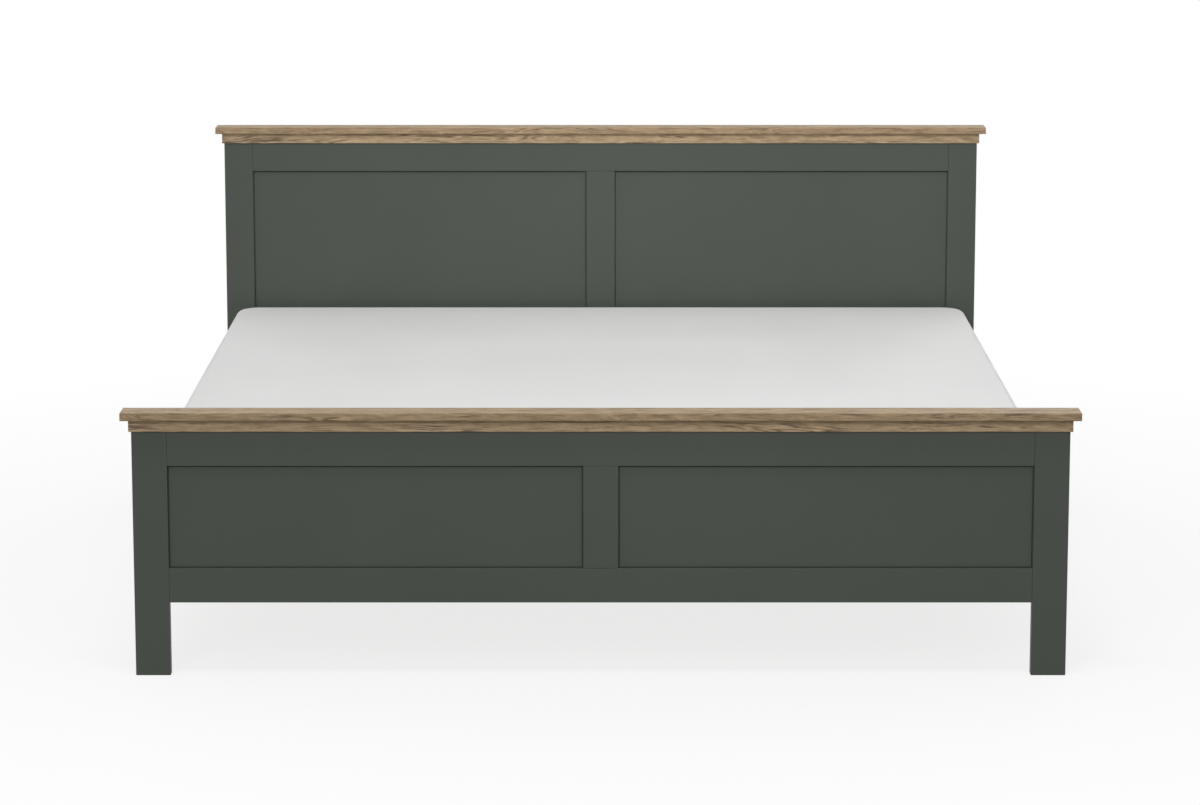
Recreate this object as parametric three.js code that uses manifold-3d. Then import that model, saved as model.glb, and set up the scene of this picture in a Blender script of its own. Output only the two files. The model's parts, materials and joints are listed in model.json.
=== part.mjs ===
// Double storage bed: painted frame-and-panel headboard and footboard with oak-look caps,
// side rails, and a slatted platform that lifts at the foot end over two shallow bedding bays.
// Millimetres. X runs across the bed, +Y towards the headboard, +Z up.
// The origin is on the floor under the middle of the bed.
import * as THREE from "three";
import { mergeVertices } from "three/addons/utils/BufferGeometryUtils.js";
import Module from "manifold-3d";

const wasm = await Module();
wasm.setup();

// Mattress and the room left round it.
const MATTRESS_WIDTH = 1812;
const MATTRESS_LENGTH = 2000;
const MATTRESS_THICKNESS = 160;
const MATTRESS_EDGE = 20;
const MATTRESS_CORNER = 58;
const FOOT_GAP = 28;
const HEAD_GAP = 18;

// Boards of the headboard and footboard.
const BED_WIDTH = 1870;
const BOARD = 22;
const MEMBER = 70;
const PANEL = 8;
const SHADOW_GAP = 2.2;
const GROOVE_PLAY = 0.4;
const TONGUE = 7;
const TONGUE_THICKNESS = 3;
const GROOVE_DEPTH = 8;
const LOWER_RAIL_Z = 150;
const FOOT_TOP_RAIL_Z = 429;
const HEAD_TOP_RAIL_Z = 763;
const MOULDING_HEIGHT = 25;
const MOULDING_OVERHANG = 5;
const CAP_HEIGHT = 16;
const CAP_OVERHANG = 21;
const CAP_END_OVERHANG = 20;
const CAP_CHAMFER = 1.2;

// Places along the bed that follow from these.
const INNER_HALF = (MATTRESS_LENGTH + FOOT_GAP + HEAD_GAP) / 2;
const MATTRESS_FOOT_Y = FOOT_GAP - INNER_HALF;
const MATTRESS_HEAD_Y = INNER_HALF - HEAD_GAP;

// Side rails and the floor of the bedding bays.
const RAIL = 18;
const RAIL_TOP_Z = 358;
const RAIL_INNER_X = BED_WIDTH / 2 - RAIL;
const BEARER_THICKNESS = 14;
const BEARER_HALF = 30;
const FLOOR = 4;
const FLOOR_Z = LOWER_RAIL_Z + BEARER_THICKNESS;
const FLOOR_TONGUE = 7;
const RAIL_GROOVE_DEPTH = 8;
const DIVIDER_HALF = 9;
const DIVIDER_TOP_Z = 232;
const DIVIDER_FOOT_Y = -950;
const DIVIDER_HEAD_Y = 790;
const LEG_Y = [-250, 650];
const LEG_RADIUS = 25;
const LEG_FOOT_RADIUS = 17;
const FLOOR_PLAY = 0.3;

// Sheet steel fittings.
const SHEET = 3;
const CORNER_LEG = 40;
const CORNER_Z = 190;
const CORNER_HEIGHT = 120;
const BRACKET_LENGTH = 60;
const BRACKET_TOP_Z = 214;

// Lifting platform of welded square tube.
const TUBE = 25;
const TUBE_WALL = 1.5;
const TUBE_Z = 233;
const FRAME_FOOT_Y = -985;
const FRAME_HEAD_Y = 975;
const SIDE_TUBE_OUTER_X = 909.5;
const SLAT_COUNT = 11;
const SLAT_WIDTH = 110;
const SLAT_THICKNESS = 12;
const SLAT_HALF_LENGTH = 905;
const SLAT_Z = TUBE_Z + TUBE;
const MATTRESS_Z = SLAT_Z + SLAT_THICKNESS + 0.3;

// Lift mechanism: the platform turns about the pivot, and a gas strut runs from the
// base stud on the side rail to the lug stud on the side tube.
const PIVOT = { y: 845, z: 343 };
const BASE_STUD = { y: 845, z: 190 };
const LUG_STUD = { y: 545, z: 243 };
const ARM = 4;
const ARM_INNER_X = SIDE_TUBE_OUTER_X;
const ARM_HEAD_RADIUS = 15;
const ARM_FOOT_Y = 700;
const ARM_HEAD_Y = 970;
const PIVOT_RADIUS = 6;
const PIVOT_PLAY = 0.2;
const RIVET_RADIUS = 9;
const RIVET_HEIGHT = 1.5;
const BASE_PLATE_HALF = 28;
const BASE_PLATE_Z = 172;
const BASE_PLATE_TOP_Z = 357;
const STRUT_X = 859;
const EYE_WIDTH = 12;
const EYE_RADIUS = 12;
const STUD_RADIUS = 5;
const LUG_STUD_RADIUS = 4;
const STUD_HEAD = 2;
const STUD_HEAD_RADIUS = 10;
const ROD_EYE_HOLE = 8;
const CYLINDER_RADIUS = 11;
const CYLINDER_BORE = 9.2;
const CYLINDER_START = 22;
const CYLINDER_END = 282;
const CYLINDER_LIP = 10;
const ROD_RADIUS = 4;
const ROD_PLAY = 0.5;
const PISTON_RADIUS = 8.6;
const PISTON_AT = 172;
const PISTON_LENGTH = 8;

// Mattress stop and pull strap at the foot end of the platform.
const STOP_HALF = 100;
const STOP_RADIUS = 3;
const STOP_Y = -1000;
const STOP_TOP_Z = 330;
const STOP_BEND = 18;
const STRAP_WIDTH = 40;
const STRAP = 1.6;
const STRAP_Y = -996.05;
const STRAP_TOP_Z = 415;
const STRAP_BEND = 8;

const ROUND_SIDES = 20;

const material = (color, roughness, metalness = 0) =>
  new THREE.MeshStandardMaterial({ color, roughness, metalness });
const GREEN_LACQUER = material(0x4a4f48, 0.55);
const OAK_DECOR = material(0x8e7d66, 0.6);
const PINE = material(0xd8b98a, 0.7);
const HARDBOARD = material(0xb9a58a, 0.8);
const BLACK_STEEL = material(0x26282a, 0.45, 0.6);
const ZINC_STEEL = material(0xb8babc, 0.35, 0.9);
const CHROME_ROD = material(0xd6d8da, 0.15, 1);
const MATTRESS_TICKING = material(0xe2e2e0, 0.9);
const STRAP_WEBBING = material(0x35373a, 0.9);

const bed = new THREE.Group();

/** Adds one named piece to a group. */
function addPiece(group, name, geometry, finish) {
  const mesh = new THREE.Mesh(geometry, finish);
  mesh.name = name;
  group.add(mesh);
  return mesh;
}

/** A group at a place, inside another group. */
function groupAt(parent, x, y, z) {
  const group = new THREE.Group();
  group.position.set(x, y, z);
  parent.add(group);
  return group;
}

/** A block between two corners. */
function block(x0, x1, y0, y1, z0, z1) {
  const box = new THREE.BoxGeometry(x1 - x0, y1 - y0, z1 - z0);
  return box.translate((x0 + x1) / 2, (y0 + y1) / 2, (z0 + z1) / 2);
}

/** A closed geometry as a solid that can be cut and joined. */
function solidOf(geometry) {
  const bare = geometry.clone();
  bare.deleteAttribute("normal");
  bare.deleteAttribute("uv");
  const merged = mergeVertices(bare, 1e-3);
  return new wasm.Manifold(
    new wasm.Mesh({
      numProp: 3,
      vertProperties: merged.attributes.position.array,
      triVerts: new Uint32Array(merged.index.array),
    }),
  );
}

/** A solid as a geometry again. */
function geometryOf(solid) {
  const mesh = solid.getMesh();
  return new THREE.BufferGeometry()
    .setAttribute("position", new THREE.BufferAttribute(mesh.vertProperties, 3))
    .setIndex(new THREE.BufferAttribute(mesh.triVerts, 1));
}

/** The body joined with the added geometries, and then with the cutters taken out. */
function shape(body, added, cutters = []) {
  let solid = solidOf(body);
  for (const extra of added) solid = solid.add(solidOf(extra));
  for (const cutter of cutters) solid = solid.subtract(solidOf(cutter));
  return geometryOf(solid);
}

/** A disc or rod along X between two places, centred on (y, z). */
function rodAlongX(x0, x1, y, z, radius, sides = ROUND_SIDES) {
  const rod = new THREE.CylinderGeometry(radius, radius, Math.abs(x1 - x0), sides);
  return rod.rotateZ(Math.PI / 2).translate((x0 + x1) / 2, y, z);
}

/** An outline drawn in Y and Z, given its thickness along X from x0 to x1. */
function plateAcrossX(outline, x0, x1) {
  const plate = new THREE.ExtrudeGeometry(outline, {
    depth: Math.abs(x1 - x0),
    bevelEnabled: false,
    curveSegments: 6,
  });
  // The outline's own axes become Y and Z, and its thickness runs along X.
  const turn = new THREE.Matrix4().makeBasis(
    new THREE.Vector3(0, 1, 0),
    new THREE.Vector3(0, 0, 1),
    new THREE.Vector3(1, 0, 0),
  );
  return plate.applyMatrix4(turn).translate(Math.min(x0, x1), 0, 0);
}

/** A square tube along Z with open ends, centred on the origin's axis. */
function squareTube(length) {
  const half = TUBE / 2;
  const outline = new THREE.Shape();
  outline.moveTo(-half, -half).lineTo(half, -half).lineTo(half, half).lineTo(-half, half);
  const inner = half - TUBE_WALL;
  const bore = new THREE.Path();
  bore.moveTo(-inner, -inner).lineTo(-inner, inner).lineTo(inner, inner).lineTo(inner, -inner);
  outline.holes.push(bore);
  return new THREE.ExtrudeGeometry(outline, { depth: length, bevelEnabled: false });
}

/** A bar along X with its four long edges chamfered. */
function chamferedBar(halfLength, depth, height, chamfer) {
  const y = depth / 2;
  const outline = new THREE.Shape();
  outline.moveTo(-y + chamfer, 0).lineTo(y - chamfer, 0);
  outline.lineTo(y, chamfer).lineTo(y, height - chamfer);
  outline.lineTo(y - chamfer, height).lineTo(-y + chamfer, height);
  outline.lineTo(-y, height - chamfer).lineTo(-y, chamfer);
  return plateAcrossX(outline, -halfLength, halfLength);
}

/** A groove cutter for a panel's tongue, centred in the board's thickness. */
function panelGroove(x0, x1, z0, z1) {
  const half = TONGUE_THICKNESS / 2 + GROOVE_PLAY / 2;
  return block(x0, x1, -half, half, z0, z1);
}

/** A post with its stopped groove on the side of the panel; side is -1 on the left. */
function post(side, height, topRailZ) {
  const outer = side * (BED_WIDTH / 2);
  const inner = side * (BED_WIDTH / 2 - MEMBER);
  const grooveX = inner + side * GROOVE_DEPTH;
  const body = block(
    Math.min(outer, inner), Math.max(outer, inner), -BOARD / 2, BOARD / 2, 0, height,
  );
  const groove = panelGroove(
    Math.min(inner - side, grooveX), Math.max(inner - side, grooveX),
    LOWER_RAIL_Z + MEMBER - GROOVE_DEPTH, topRailZ + GROOVE_DEPTH,
  );
  return shape(body, [], [groove]);
}

/** A rail between the posts, grooved along its top edge or its bottom edge. */
function crossRail(z, groovedAbove) {
  const half = BED_WIDTH / 2 - MEMBER;
  const body = block(-half, half, -BOARD / 2, BOARD / 2, z, z + MEMBER);
  const edge = groovedAbove ? z + MEMBER : z;
  const inside = groovedAbove ? edge - GROOVE_DEPTH : edge + GROOVE_DEPTH;
  const outside = groovedAbove ? edge + 1 : edge - 1;
  const groove = panelGroove(-half - 1, half + 1, Math.min(inside, outside), Math.max(inside, outside));
  return shape(body, [], [groove]);
}

/** The centre stile, grooved on both edges. */
function stile(topRailZ) {
  const half = MEMBER / 2;
  const z0 = LOWER_RAIL_Z + MEMBER;
  const body = block(-half, half, -BOARD / 2, BOARD / 2, z0, topRailZ);
  const grooves = [-1, 1].map((side) => {
    const edges = [side * (half + 1), side * (half - GROOVE_DEPTH)];
    return panelGroove(Math.min(...edges), Math.max(...edges), z0 - 1, topRailZ + 1);
  });
  return shape(body, [], grooves);
}

/** One layer of a panel, its edges a margin away from the members round it. */
function panelLayer(side, topRailZ, margin, thickness) {
  const near = side * (MEMBER / 2 + margin);
  const far = side * (BED_WIDTH / 2 - MEMBER - margin);
  return block(
    Math.min(near, far), Math.max(near, far), -thickness / 2, thickness / 2,
    LOWER_RAIL_Z + MEMBER + margin, topRailZ - margin,
  );
}

/**
 * A panel whose thin tongue floats in the grooves and whose thicker field leaves a shadow gap
 * round it on both faces; side is -1 on the left.
 */
function panel(side, topRailZ) {
  const field = panelLayer(side, topRailZ, SHADOW_GAP, PANEL);
  return shape(field, [panelLayer(side, topRailZ, -TONGUE, TONGUE_THICKNESS)]);
}

/** A headboard or footboard: posts, rails, stile, two panels, moulding and cap. */
function addEndBoard(prefix, y, topRailZ) {
  const board = groupAt(bed, 0, y, 0);
  const height = topRailZ + MEMBER;
  addPiece(board, prefix + "_left_post", post(-1, height, topRailZ), GREEN_LACQUER);
  addPiece(board, prefix + "_right_post", post(1, height, topRailZ), GREEN_LACQUER);
  addPiece(board, prefix + "_top_rail", crossRail(topRailZ, false), GREEN_LACQUER);
  addPiece(board, prefix + "_lower_rail", crossRail(LOWER_RAIL_Z, true), GREEN_LACQUER);
  addPiece(board, prefix + "_centre_stile", stile(topRailZ), GREEN_LACQUER);
  addPiece(board, prefix + "_left_panel", panel(-1, topRailZ), GREEN_LACQUER);
  addPiece(board, prefix + "_right_panel", panel(1, topRailZ), GREEN_LACQUER);

  const half = BED_WIDTH / 2;
  const mouldingDepth = BOARD + 2 * MOULDING_OVERHANG;
  const moulding = chamferedBar(
    half + MOULDING_OVERHANG, mouldingDepth, MOULDING_HEIGHT, CAP_CHAMFER,
  );
  addPiece(board, prefix + "_moulding", moulding, OAK_DECOR).position.z = height;
  const capDepth = BOARD + 2 * CAP_OVERHANG;
  const cap = chamferedBar(half + CAP_END_OVERHANG, capDepth, CAP_HEIGHT, CAP_CHAMFER);
  addPiece(board, prefix + "_cap", cap, OAK_DECOR).position.z = height + MOULDING_HEIGHT;
}

/** A side rail with the groove that holds the outer edge of a floor panel. */
function addSideRail(name, side) {
  const inner = side * RAIL_INNER_X;
  const outer = side * (BED_WIDTH / 2);
  const body = block(
    Math.min(inner, outer), Math.max(inner, outer), -INNER_HALF, INNER_HALF,
    LOWER_RAIL_Z, RAIL_TOP_Z,
  );
  const depth = inner + side * RAIL_GROOVE_DEPTH;
  const groove = block(
    Math.min(inner - side, depth), Math.max(inner - side, depth), -INNER_HALF - 1, INNER_HALF + 1,
    FLOOR_Z - FLOOR_PLAY / 2, FLOOR_Z + FLOOR + FLOOR_PLAY,
  );
  addPiece(bed, name + "_side_rail", shape(body, [], [groove]), GREEN_LACQUER);
}

/** An angle bracket that joins a side rail to a headboard or footboard. */
function addCornerBracket(end, side, endName, sideName) {
  const x = side * RAIL_INNER_X;
  const y = end * INNER_HALF;
  const alongRail = block(
    Math.min(x, x - side * SHEET), Math.max(x, x - side * SHEET),
    Math.min(y, y - end * CORNER_LEG), Math.max(y, y - end * CORNER_LEG),
    CORNER_Z, CORNER_Z + CORNER_HEIGHT,
  );
  const alongBoard = block(
    Math.min(x, x - side * CORNER_LEG), Math.max(x, x - side * CORNER_LEG),
    Math.min(y, y - end * SHEET), Math.max(y, y - end * SHEET),
    CORNER_Z, CORNER_Z + CORNER_HEIGHT,
  );
  const name = "corner_bracket_" + endName + "_" + sideName;
  addPiece(bed, name, shape(alongRail, [alongBoard]), ZINC_STEEL);
}

/** The floor of the bedding bays, its bearer, divider, brackets and centre legs. */
function addStorageFloor() {
  const end = INNER_HALF - SHEET;
  const bearer = block(-BEARER_HALF, BEARER_HALF, -end, end, LOWER_RAIL_Z, FLOOR_Z);
  addPiece(bed, "floor_bearer", bearer, PINE);
  const divider = block(
    -DIVIDER_HALF, DIVIDER_HALF, DIVIDER_FOOT_Y, DIVIDER_HEAD_Y, FLOOR_Z, DIVIDER_TOP_Z,
  );
  addPiece(bed, "centre_divider", divider, PINE);
  for (const [side, name] of [[-1, "left"], [1, "right"]]) {
    const near = side * (DIVIDER_HALF + FLOOR_PLAY);
    const far = side * (RAIL_INNER_X + FLOOR_TONGUE);
    const sheet = block(Math.min(near, far), Math.max(near, far), -end, end, FLOOR_Z, FLOOR_Z + FLOOR);
    addPiece(bed, "storage_floor_" + name, sheet, HARDBOARD);
  }
  for (const [side, name] of [[-1, "foot"], [1, "head"]]) {
    const wall = side * INNER_HALF;
    const upright = block(
      -BEARER_HALF, BEARER_HALF, Math.min(wall, wall - side * SHEET),
      Math.max(wall, wall - side * SHEET), LOWER_RAIL_Z - SHEET, BRACKET_TOP_Z,
    );
    const tip = wall - side * BRACKET_LENGTH;
    const ledge = block(
      -BEARER_HALF, BEARER_HALF, Math.min(wall, tip), Math.max(wall, tip),
      LOWER_RAIL_Z - SHEET, LOWER_RAIL_Z,
    );
    addPiece(bed, "bearer_bracket_" + name, shape(upright, [ledge]), ZINC_STEEL);
  }
  LEG_Y.forEach((y, i) => {
    const profile = [
      [0, 0], [LEG_FOOT_RADIUS - 2, 0], [LEG_FOOT_RADIUS, 2], [LEG_RADIUS, LOWER_RAIL_Z - 30],
      [LEG_RADIUS, LOWER_RAIL_Z], [0, LOWER_RAIL_Z],
    ].map(([r, z]) => new THREE.Vector2(r, z));
    const leg = new THREE.LatheGeometry(profile, ROUND_SIDES).rotateX(Math.PI / 2);
    addPiece(bed, "centre_leg_" + (i + 1), leg, PINE).position.y = y;
  });
}

/** The platform's welded tube frame; the side tubes carry the studs of the struts. */
function addPlatformFrame() {
  const frame = groupAt(bed, 0, 0, TUBE_Z + TUBE / 2);
  const length = FRAME_HEAD_Y - FRAME_FOOT_Y;
  const lugZ = LUG_STUD.z - TUBE_Z - TUBE / 2;
  for (const [side, name] of [[-1, "left"], [1, "right"]]) {
    const x = side * (SIDE_TUBE_OUTER_X - TUBE / 2);
    const tube = squareTube(length).rotateX(-Math.PI / 2).translate(x, FRAME_FOOT_Y, 0);
    const tubeInner = side * (SIDE_TUBE_OUTER_X - TUBE + TUBE_WALL / 2);
    const eyeSide = side * (STRUT_X - EYE_WIDTH / 2);
    const eyeFar = side * (STRUT_X + EYE_WIDTH / 2 + 1);
    const stud = rodAlongX(tubeInner, eyeSide - side, LUG_STUD.y, lugZ, LUG_STUD_RADIUS);
    const collar = rodAlongX(tubeInner, eyeFar, LUG_STUD.y, lugZ, STUD_HEAD_RADIUS);
    const head = rodAlongX(
      eyeSide - side, eyeSide - side * (1 + STUD_HEAD), LUG_STUD.y, lugZ, STUD_HEAD_RADIUS,
    );
    addPiece(frame, "platform_tube_" + name, shape(tube, [stud, collar, head]), BLACK_STEEL);
  }
  const half = SIDE_TUBE_OUTER_X - TUBE;
  const across = () => squareTube(2 * half).rotateY(Math.PI / 2).translate(-half, 0, 0);
  addPiece(frame, "platform_tube_foot", across(), BLACK_STEEL).position.y = FRAME_FOOT_Y + TUBE / 2;
  addPiece(frame, "platform_tube_head", across(), BLACK_STEEL).position.y = FRAME_HEAD_Y - TUBE / 2;
  const middle = squareTube(length - 2 * TUBE).rotateX(-Math.PI / 2);
  addPiece(frame, "platform_tube_centre", middle, BLACK_STEEL).position.y = FRAME_FOOT_Y + TUBE;
}

/** The slats, evenly spaced over the length of the platform. */
function addSlats() {
  const pitch = (FRAME_HEAD_Y - FRAME_FOOT_Y - SLAT_WIDTH) / (SLAT_COUNT - 1);
  for (let i = 0; i < SLAT_COUNT; i++) {
    const slat = new THREE.BoxGeometry(2 * SLAT_HALF_LENGTH, SLAT_WIDTH, SLAT_THICKNESS);
    const mesh = addPiece(bed, "slat_" + String(i + 1).padStart(2, "0"), slat, PINE);
    mesh.position.y = FRAME_FOOT_Y + SLAT_WIDTH / 2 + i * pitch;
    mesh.position.z = SLAT_Z + SLAT_THICKNESS / 2;
  }
}

/** The mattress: a slab with round corners in plan and rounded top and bottom edges. */
function addMattress() {
  const x = MATTRESS_WIDTH / 2 - MATTRESS_EDGE;
  const y = MATTRESS_LENGTH / 2 - MATTRESS_EDGE;
  const r = MATTRESS_CORNER - MATTRESS_EDGE;
  const plan = new THREE.Shape();
  plan.moveTo(-x + r, -y).lineTo(x - r, -y).absarc(x - r, -y + r, r, -Math.PI / 2, 0);
  plan.lineTo(x, y - r).absarc(x - r, y - r, r, 0, Math.PI / 2);
  plan.lineTo(-x + r, y).absarc(-x + r, y - r, r, Math.PI / 2, Math.PI);
  plan.lineTo(-x, -y + r).absarc(-x + r, -y + r, r, Math.PI, 1.5 * Math.PI);
  const slab = new THREE.ExtrudeGeometry(plan, {
    depth: MATTRESS_THICKNESS - 2 * MATTRESS_EDGE,
    bevelThickness: MATTRESS_EDGE,
    bevelSize: MATTRESS_EDGE,
    bevelSegments: 4,
    curveSegments: 6,
  });
  const mattress = addPiece(bed, "mattress", slab, MATTRESS_TICKING);
  mattress.position.set(0, (MATTRESS_FOOT_Y + MATTRESS_HEAD_Y) / 2, MATTRESS_Z + MATTRESS_EDGE);
}

/** The bent rod at the foot end that keeps the mattress from sliding down. */
function addMattressStop() {
  const foot = FRAME_FOOT_Y + TUBE;
  const low = TUBE_Z - STOP_RADIUS - 0.1;
  const corners = [
    [-STOP_HALF, foot, low], [-STOP_HALF, STOP_Y, low], [-STOP_HALF, STOP_Y, STOP_TOP_Z],
    [STOP_HALF, STOP_Y, STOP_TOP_Z], [STOP_HALF, STOP_Y, low], [STOP_HALF, foot, low],
  ].map((p) => new THREE.Vector3(...p));
  const path = new THREE.CurvePath();
  let from = corners[0];
  for (let i = 1; i < corners.length - 1; i++) {
    const corner = corners[i];
    const bend = i === 1 || i === 4 ? STOP_BEND / 2 : STOP_BEND;
    const before = corner.clone().add(from.clone().sub(corner).setLength(bend));
    const after = corner.clone().add(corners[i + 1].clone().sub(corner).setLength(bend));
    path.add(new THREE.LineCurve3(from, before));
    path.add(new THREE.QuadraticBezierCurve3(before, corner, after));
    from = after;
  }
  path.add(new THREE.LineCurve3(from, corners[corners.length - 1]));
  const section = new THREE.Shape().absarc(0, 0, STOP_RADIUS, 0, 2 * Math.PI);
  const rod = new THREE.ExtrudeGeometry(section, { extrudePath: path, steps: 90, curveSegments: 4 });
  addPiece(bed, "mattress_stop", rod, BLACK_STEEL);
}

/** The strap that a hand pulls to lift the platform. */
function addPullStrap() {
  const low = TUBE_Z - STRAP - 0.2;
  const r = STRAP_BEND;
  const outline = new THREE.Shape();
  outline.moveTo(FRAME_FOOT_Y + TUBE, low);
  outline.lineTo(FRAME_FOOT_Y + TUBE, low + STRAP);
  outline.lineTo(STRAP_Y + STRAP / 2 + r, low + STRAP);
  outline.absarc(STRAP_Y + STRAP / 2 + r, low + STRAP + r, r, -Math.PI / 2, -Math.PI, true);
  outline.lineTo(STRAP_Y + STRAP / 2, STRAP_TOP_Z);
  outline.lineTo(STRAP_Y - STRAP / 2, STRAP_TOP_Z);
  outline.lineTo(STRAP_Y - STRAP / 2, low + STRAP + r);
  outline.absarc(STRAP_Y + STRAP / 2 + r, low + STRAP + r, r + STRAP, Math.PI, 1.5 * Math.PI);
  addPiece(bed, "pull_strap", plateAcrossX(outline, -STRAP_WIDTH / 2, STRAP_WIDTH / 2), STRAP_WEBBING);
}

/** The plate on a side rail that carries the pivot and the lower stud of the strut. */
function addBasePlate(name, side) {
  const face = side * RAIL_INNER_X;
  const front = face - side * SHEET;
  const r = BASE_PLATE_HALF / 2;
  const y0 = PIVOT.y - BASE_PLATE_HALF;
  const y1 = PIVOT.y + BASE_PLATE_HALF;
  const outline = new THREE.Shape();
  outline.moveTo(y0, BASE_PLATE_Z).lineTo(y1, BASE_PLATE_Z).lineTo(y1, BASE_PLATE_TOP_Z - r);
  outline.absarc(y1 - r, BASE_PLATE_TOP_Z - r, r, 0, Math.PI / 2);
  outline.absarc(y0 + r, BASE_PLATE_TOP_Z - r, r, Math.PI / 2, Math.PI);
  const plate = plateAcrossX(outline, face, front);
  const armInner = side * ARM_INNER_X;
  const embed = front + side;
  const eyeSide = side * (STRUT_X - EYE_WIDTH / 2 - 1);
  const eyeFar = side * (STRUT_X + EYE_WIDTH / 2 + 1);
  const added = [
    rodAlongX(embed, armInner, PIVOT.y, PIVOT.z, PIVOT_RADIUS),
    rodAlongX(armInner, armInner - side * RIVET_HEIGHT, PIVOT.y, PIVOT.z, RIVET_RADIUS),
    rodAlongX(embed, eyeSide, BASE_STUD.y, BASE_STUD.z, STUD_RADIUS),
    rodAlongX(eyeFar, eyeFar + side * STUD_HEAD, BASE_STUD.y, BASE_STUD.z, STUD_HEAD_RADIUS),
    rodAlongX(eyeSide, eyeSide - side * STUD_HEAD, BASE_STUD.y, BASE_STUD.z, STUD_HEAD_RADIUS),
  ];
  addPiece(bed, "lift_base_plate_" + name, shape(plate, added), BLACK_STEEL);
}

/** The arm on a side tube that turns on the pivot. */
function addLiftArm(name, side) {
  const bottom = TUBE_Z + 2;
  const top = TUBE_Z + TUBE - 1;
  const outline = new THREE.Shape();
  outline.moveTo(ARM_FOOT_Y, bottom).lineTo(ARM_HEAD_Y, bottom).lineTo(ARM_HEAD_Y, top);
  const lean = tangentAngle(ARM_HEAD_Y - PIVOT.y, top - PIVOT.z);
  const leanBack = Math.PI - tangentAngle(PIVOT.y - ARM_FOOT_Y, top - PIVOT.z);
  outline.absarc(PIVOT.y, PIVOT.z, ARM_HEAD_RADIUS, lean, leanBack);
  outline.lineTo(ARM_FOOT_Y, top);
  const x0 = side * ARM_INNER_X;
  const x1 = side * (ARM_INNER_X + ARM);
  const plate = plateAcrossX(outline, x0, x1);
  const hole = rodAlongX(
    x0 - side, x1 + side, PIVOT.y, PIVOT.z, PIVOT_RADIUS + PIVOT_PLAY,
  );
  addPiece(bed, "lift_arm_" + name, shape(plate, [], [hole]), BLACK_STEEL);
}

/** Where the line from a corner touches the arm's round head, as an angle about the pivot. */
function tangentAngle(dy, dz) {
  const distance = Math.hypot(dy, dz);
  return Math.atan2(dz, dy) + Math.acos(ARM_HEAD_RADIUS / distance);
}

/** A gas strut: the cylinder on the base stud and the rod on the lug stud. */
function addStrut(name, side) {
  const dy = LUG_STUD.y - BASE_STUD.y;
  const dz = LUG_STUD.z - BASE_STUD.z;
  const reach = Math.hypot(dy, dz);
  const strut = groupAt(bed, side * STRUT_X, BASE_STUD.y, BASE_STUD.z);
  strut.rotation.x = Math.atan2(dz, dy);

  const cylinderProfile = [
    [0, EYE_RADIUS / 2 + STUD_RADIUS], [6, EYE_RADIUS / 2 + STUD_RADIUS], [6, CYLINDER_START - 4],
    [CYLINDER_RADIUS - 1.5, CYLINDER_START], [CYLINDER_RADIUS, CYLINDER_START + 1.5],
    [CYLINDER_RADIUS, CYLINDER_END - 2], [CYLINDER_RADIUS - 2, CYLINDER_END],
    [ROD_RADIUS + ROD_PLAY, CYLINDER_END], [ROD_RADIUS + ROD_PLAY, CYLINDER_END - CYLINDER_LIP],
    [CYLINDER_BORE, CYLINDER_END - CYLINDER_LIP], [CYLINDER_BORE, CYLINDER_START + 8],
    [0, CYLINDER_START + 8],
  ].map(([r, along]) => new THREE.Vector2(r, along));
  const tube = new THREE.LatheGeometry(cylinderProfile, ROUND_SIDES);
  const half = EYE_WIDTH / 2;
  const baseEye = rodAlongX(-half, half, 0, 0, EYE_RADIUS);
  const baseHole = rodAlongX(-half - 2, half + 2, 0, 0, STUD_RADIUS + ROD_PLAY / 2);
  addPiece(strut, "strut_cylinder_" + name, shape(tube, [baseEye], [baseHole]), BLACK_STEEL);

  const rodProfile = [
    [0, PISTON_AT], [PISTON_RADIUS, PISTON_AT], [PISTON_RADIUS, PISTON_AT + PISTON_LENGTH],
    [ROD_RADIUS, PISTON_AT + PISTON_LENGTH], [ROD_RADIUS, reach - ROD_EYE_HOLE - 1],
    [0, reach - ROD_EYE_HOLE - 1],
  ].map(([r, along]) => new THREE.Vector2(r, along));
  const rod = new THREE.LatheGeometry(rodProfile, ROUND_SIDES);
  const rodEye = rodAlongX(-half, half, reach, 0, EYE_RADIUS);
  const rodHole = rodAlongX(-half - 2, half + 2, reach, 0, ROD_EYE_HOLE);
  addPiece(strut, "strut_rod_" + name, shape(rod, [rodEye], [rodHole]), CHROME_ROD);
}

addEndBoard("footboard", -(INNER_HALF + BOARD / 2), FOOT_TOP_RAIL_Z);
addEndBoard("headboard", INNER_HALF + BOARD / 2, HEAD_TOP_RAIL_Z);
addStorageFloor();
addPlatformFrame();
addSlats();
addMattress();
addMattressStop();
addPullStrap();
for (const [side, name] of [[-1, "left"], [1, "right"]]) {
  addSideRail(name, side);
  addCornerBracket(-1, side, "foot", name);
  addCornerBracket(1, side, "head", name);
  addBasePlate(name, side);
  addLiftArm(name, side);
  addStrut(name, side);
}

export default bed;
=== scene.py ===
"""A double storage bed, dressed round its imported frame.

A grey-green framed footboard and headboard, each under an oak-look moulding and cap, stand round a
white mattress. The mattress lies on a slatted platform of welded tube that lifts at its foot end,
over two shallow bedding bays, on two pivots and two gas struts. Lengths are in metres, X runs
across the bed, +Y towards the headboard and +Z up.
"""

from __future__ import annotations

import json
import logging
import math
from dataclasses import dataclass, field
from enum import Enum
from typing import Iterable, Sequence

import bmesh
import bpy
from mathutils import Matrix, Vector


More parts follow.
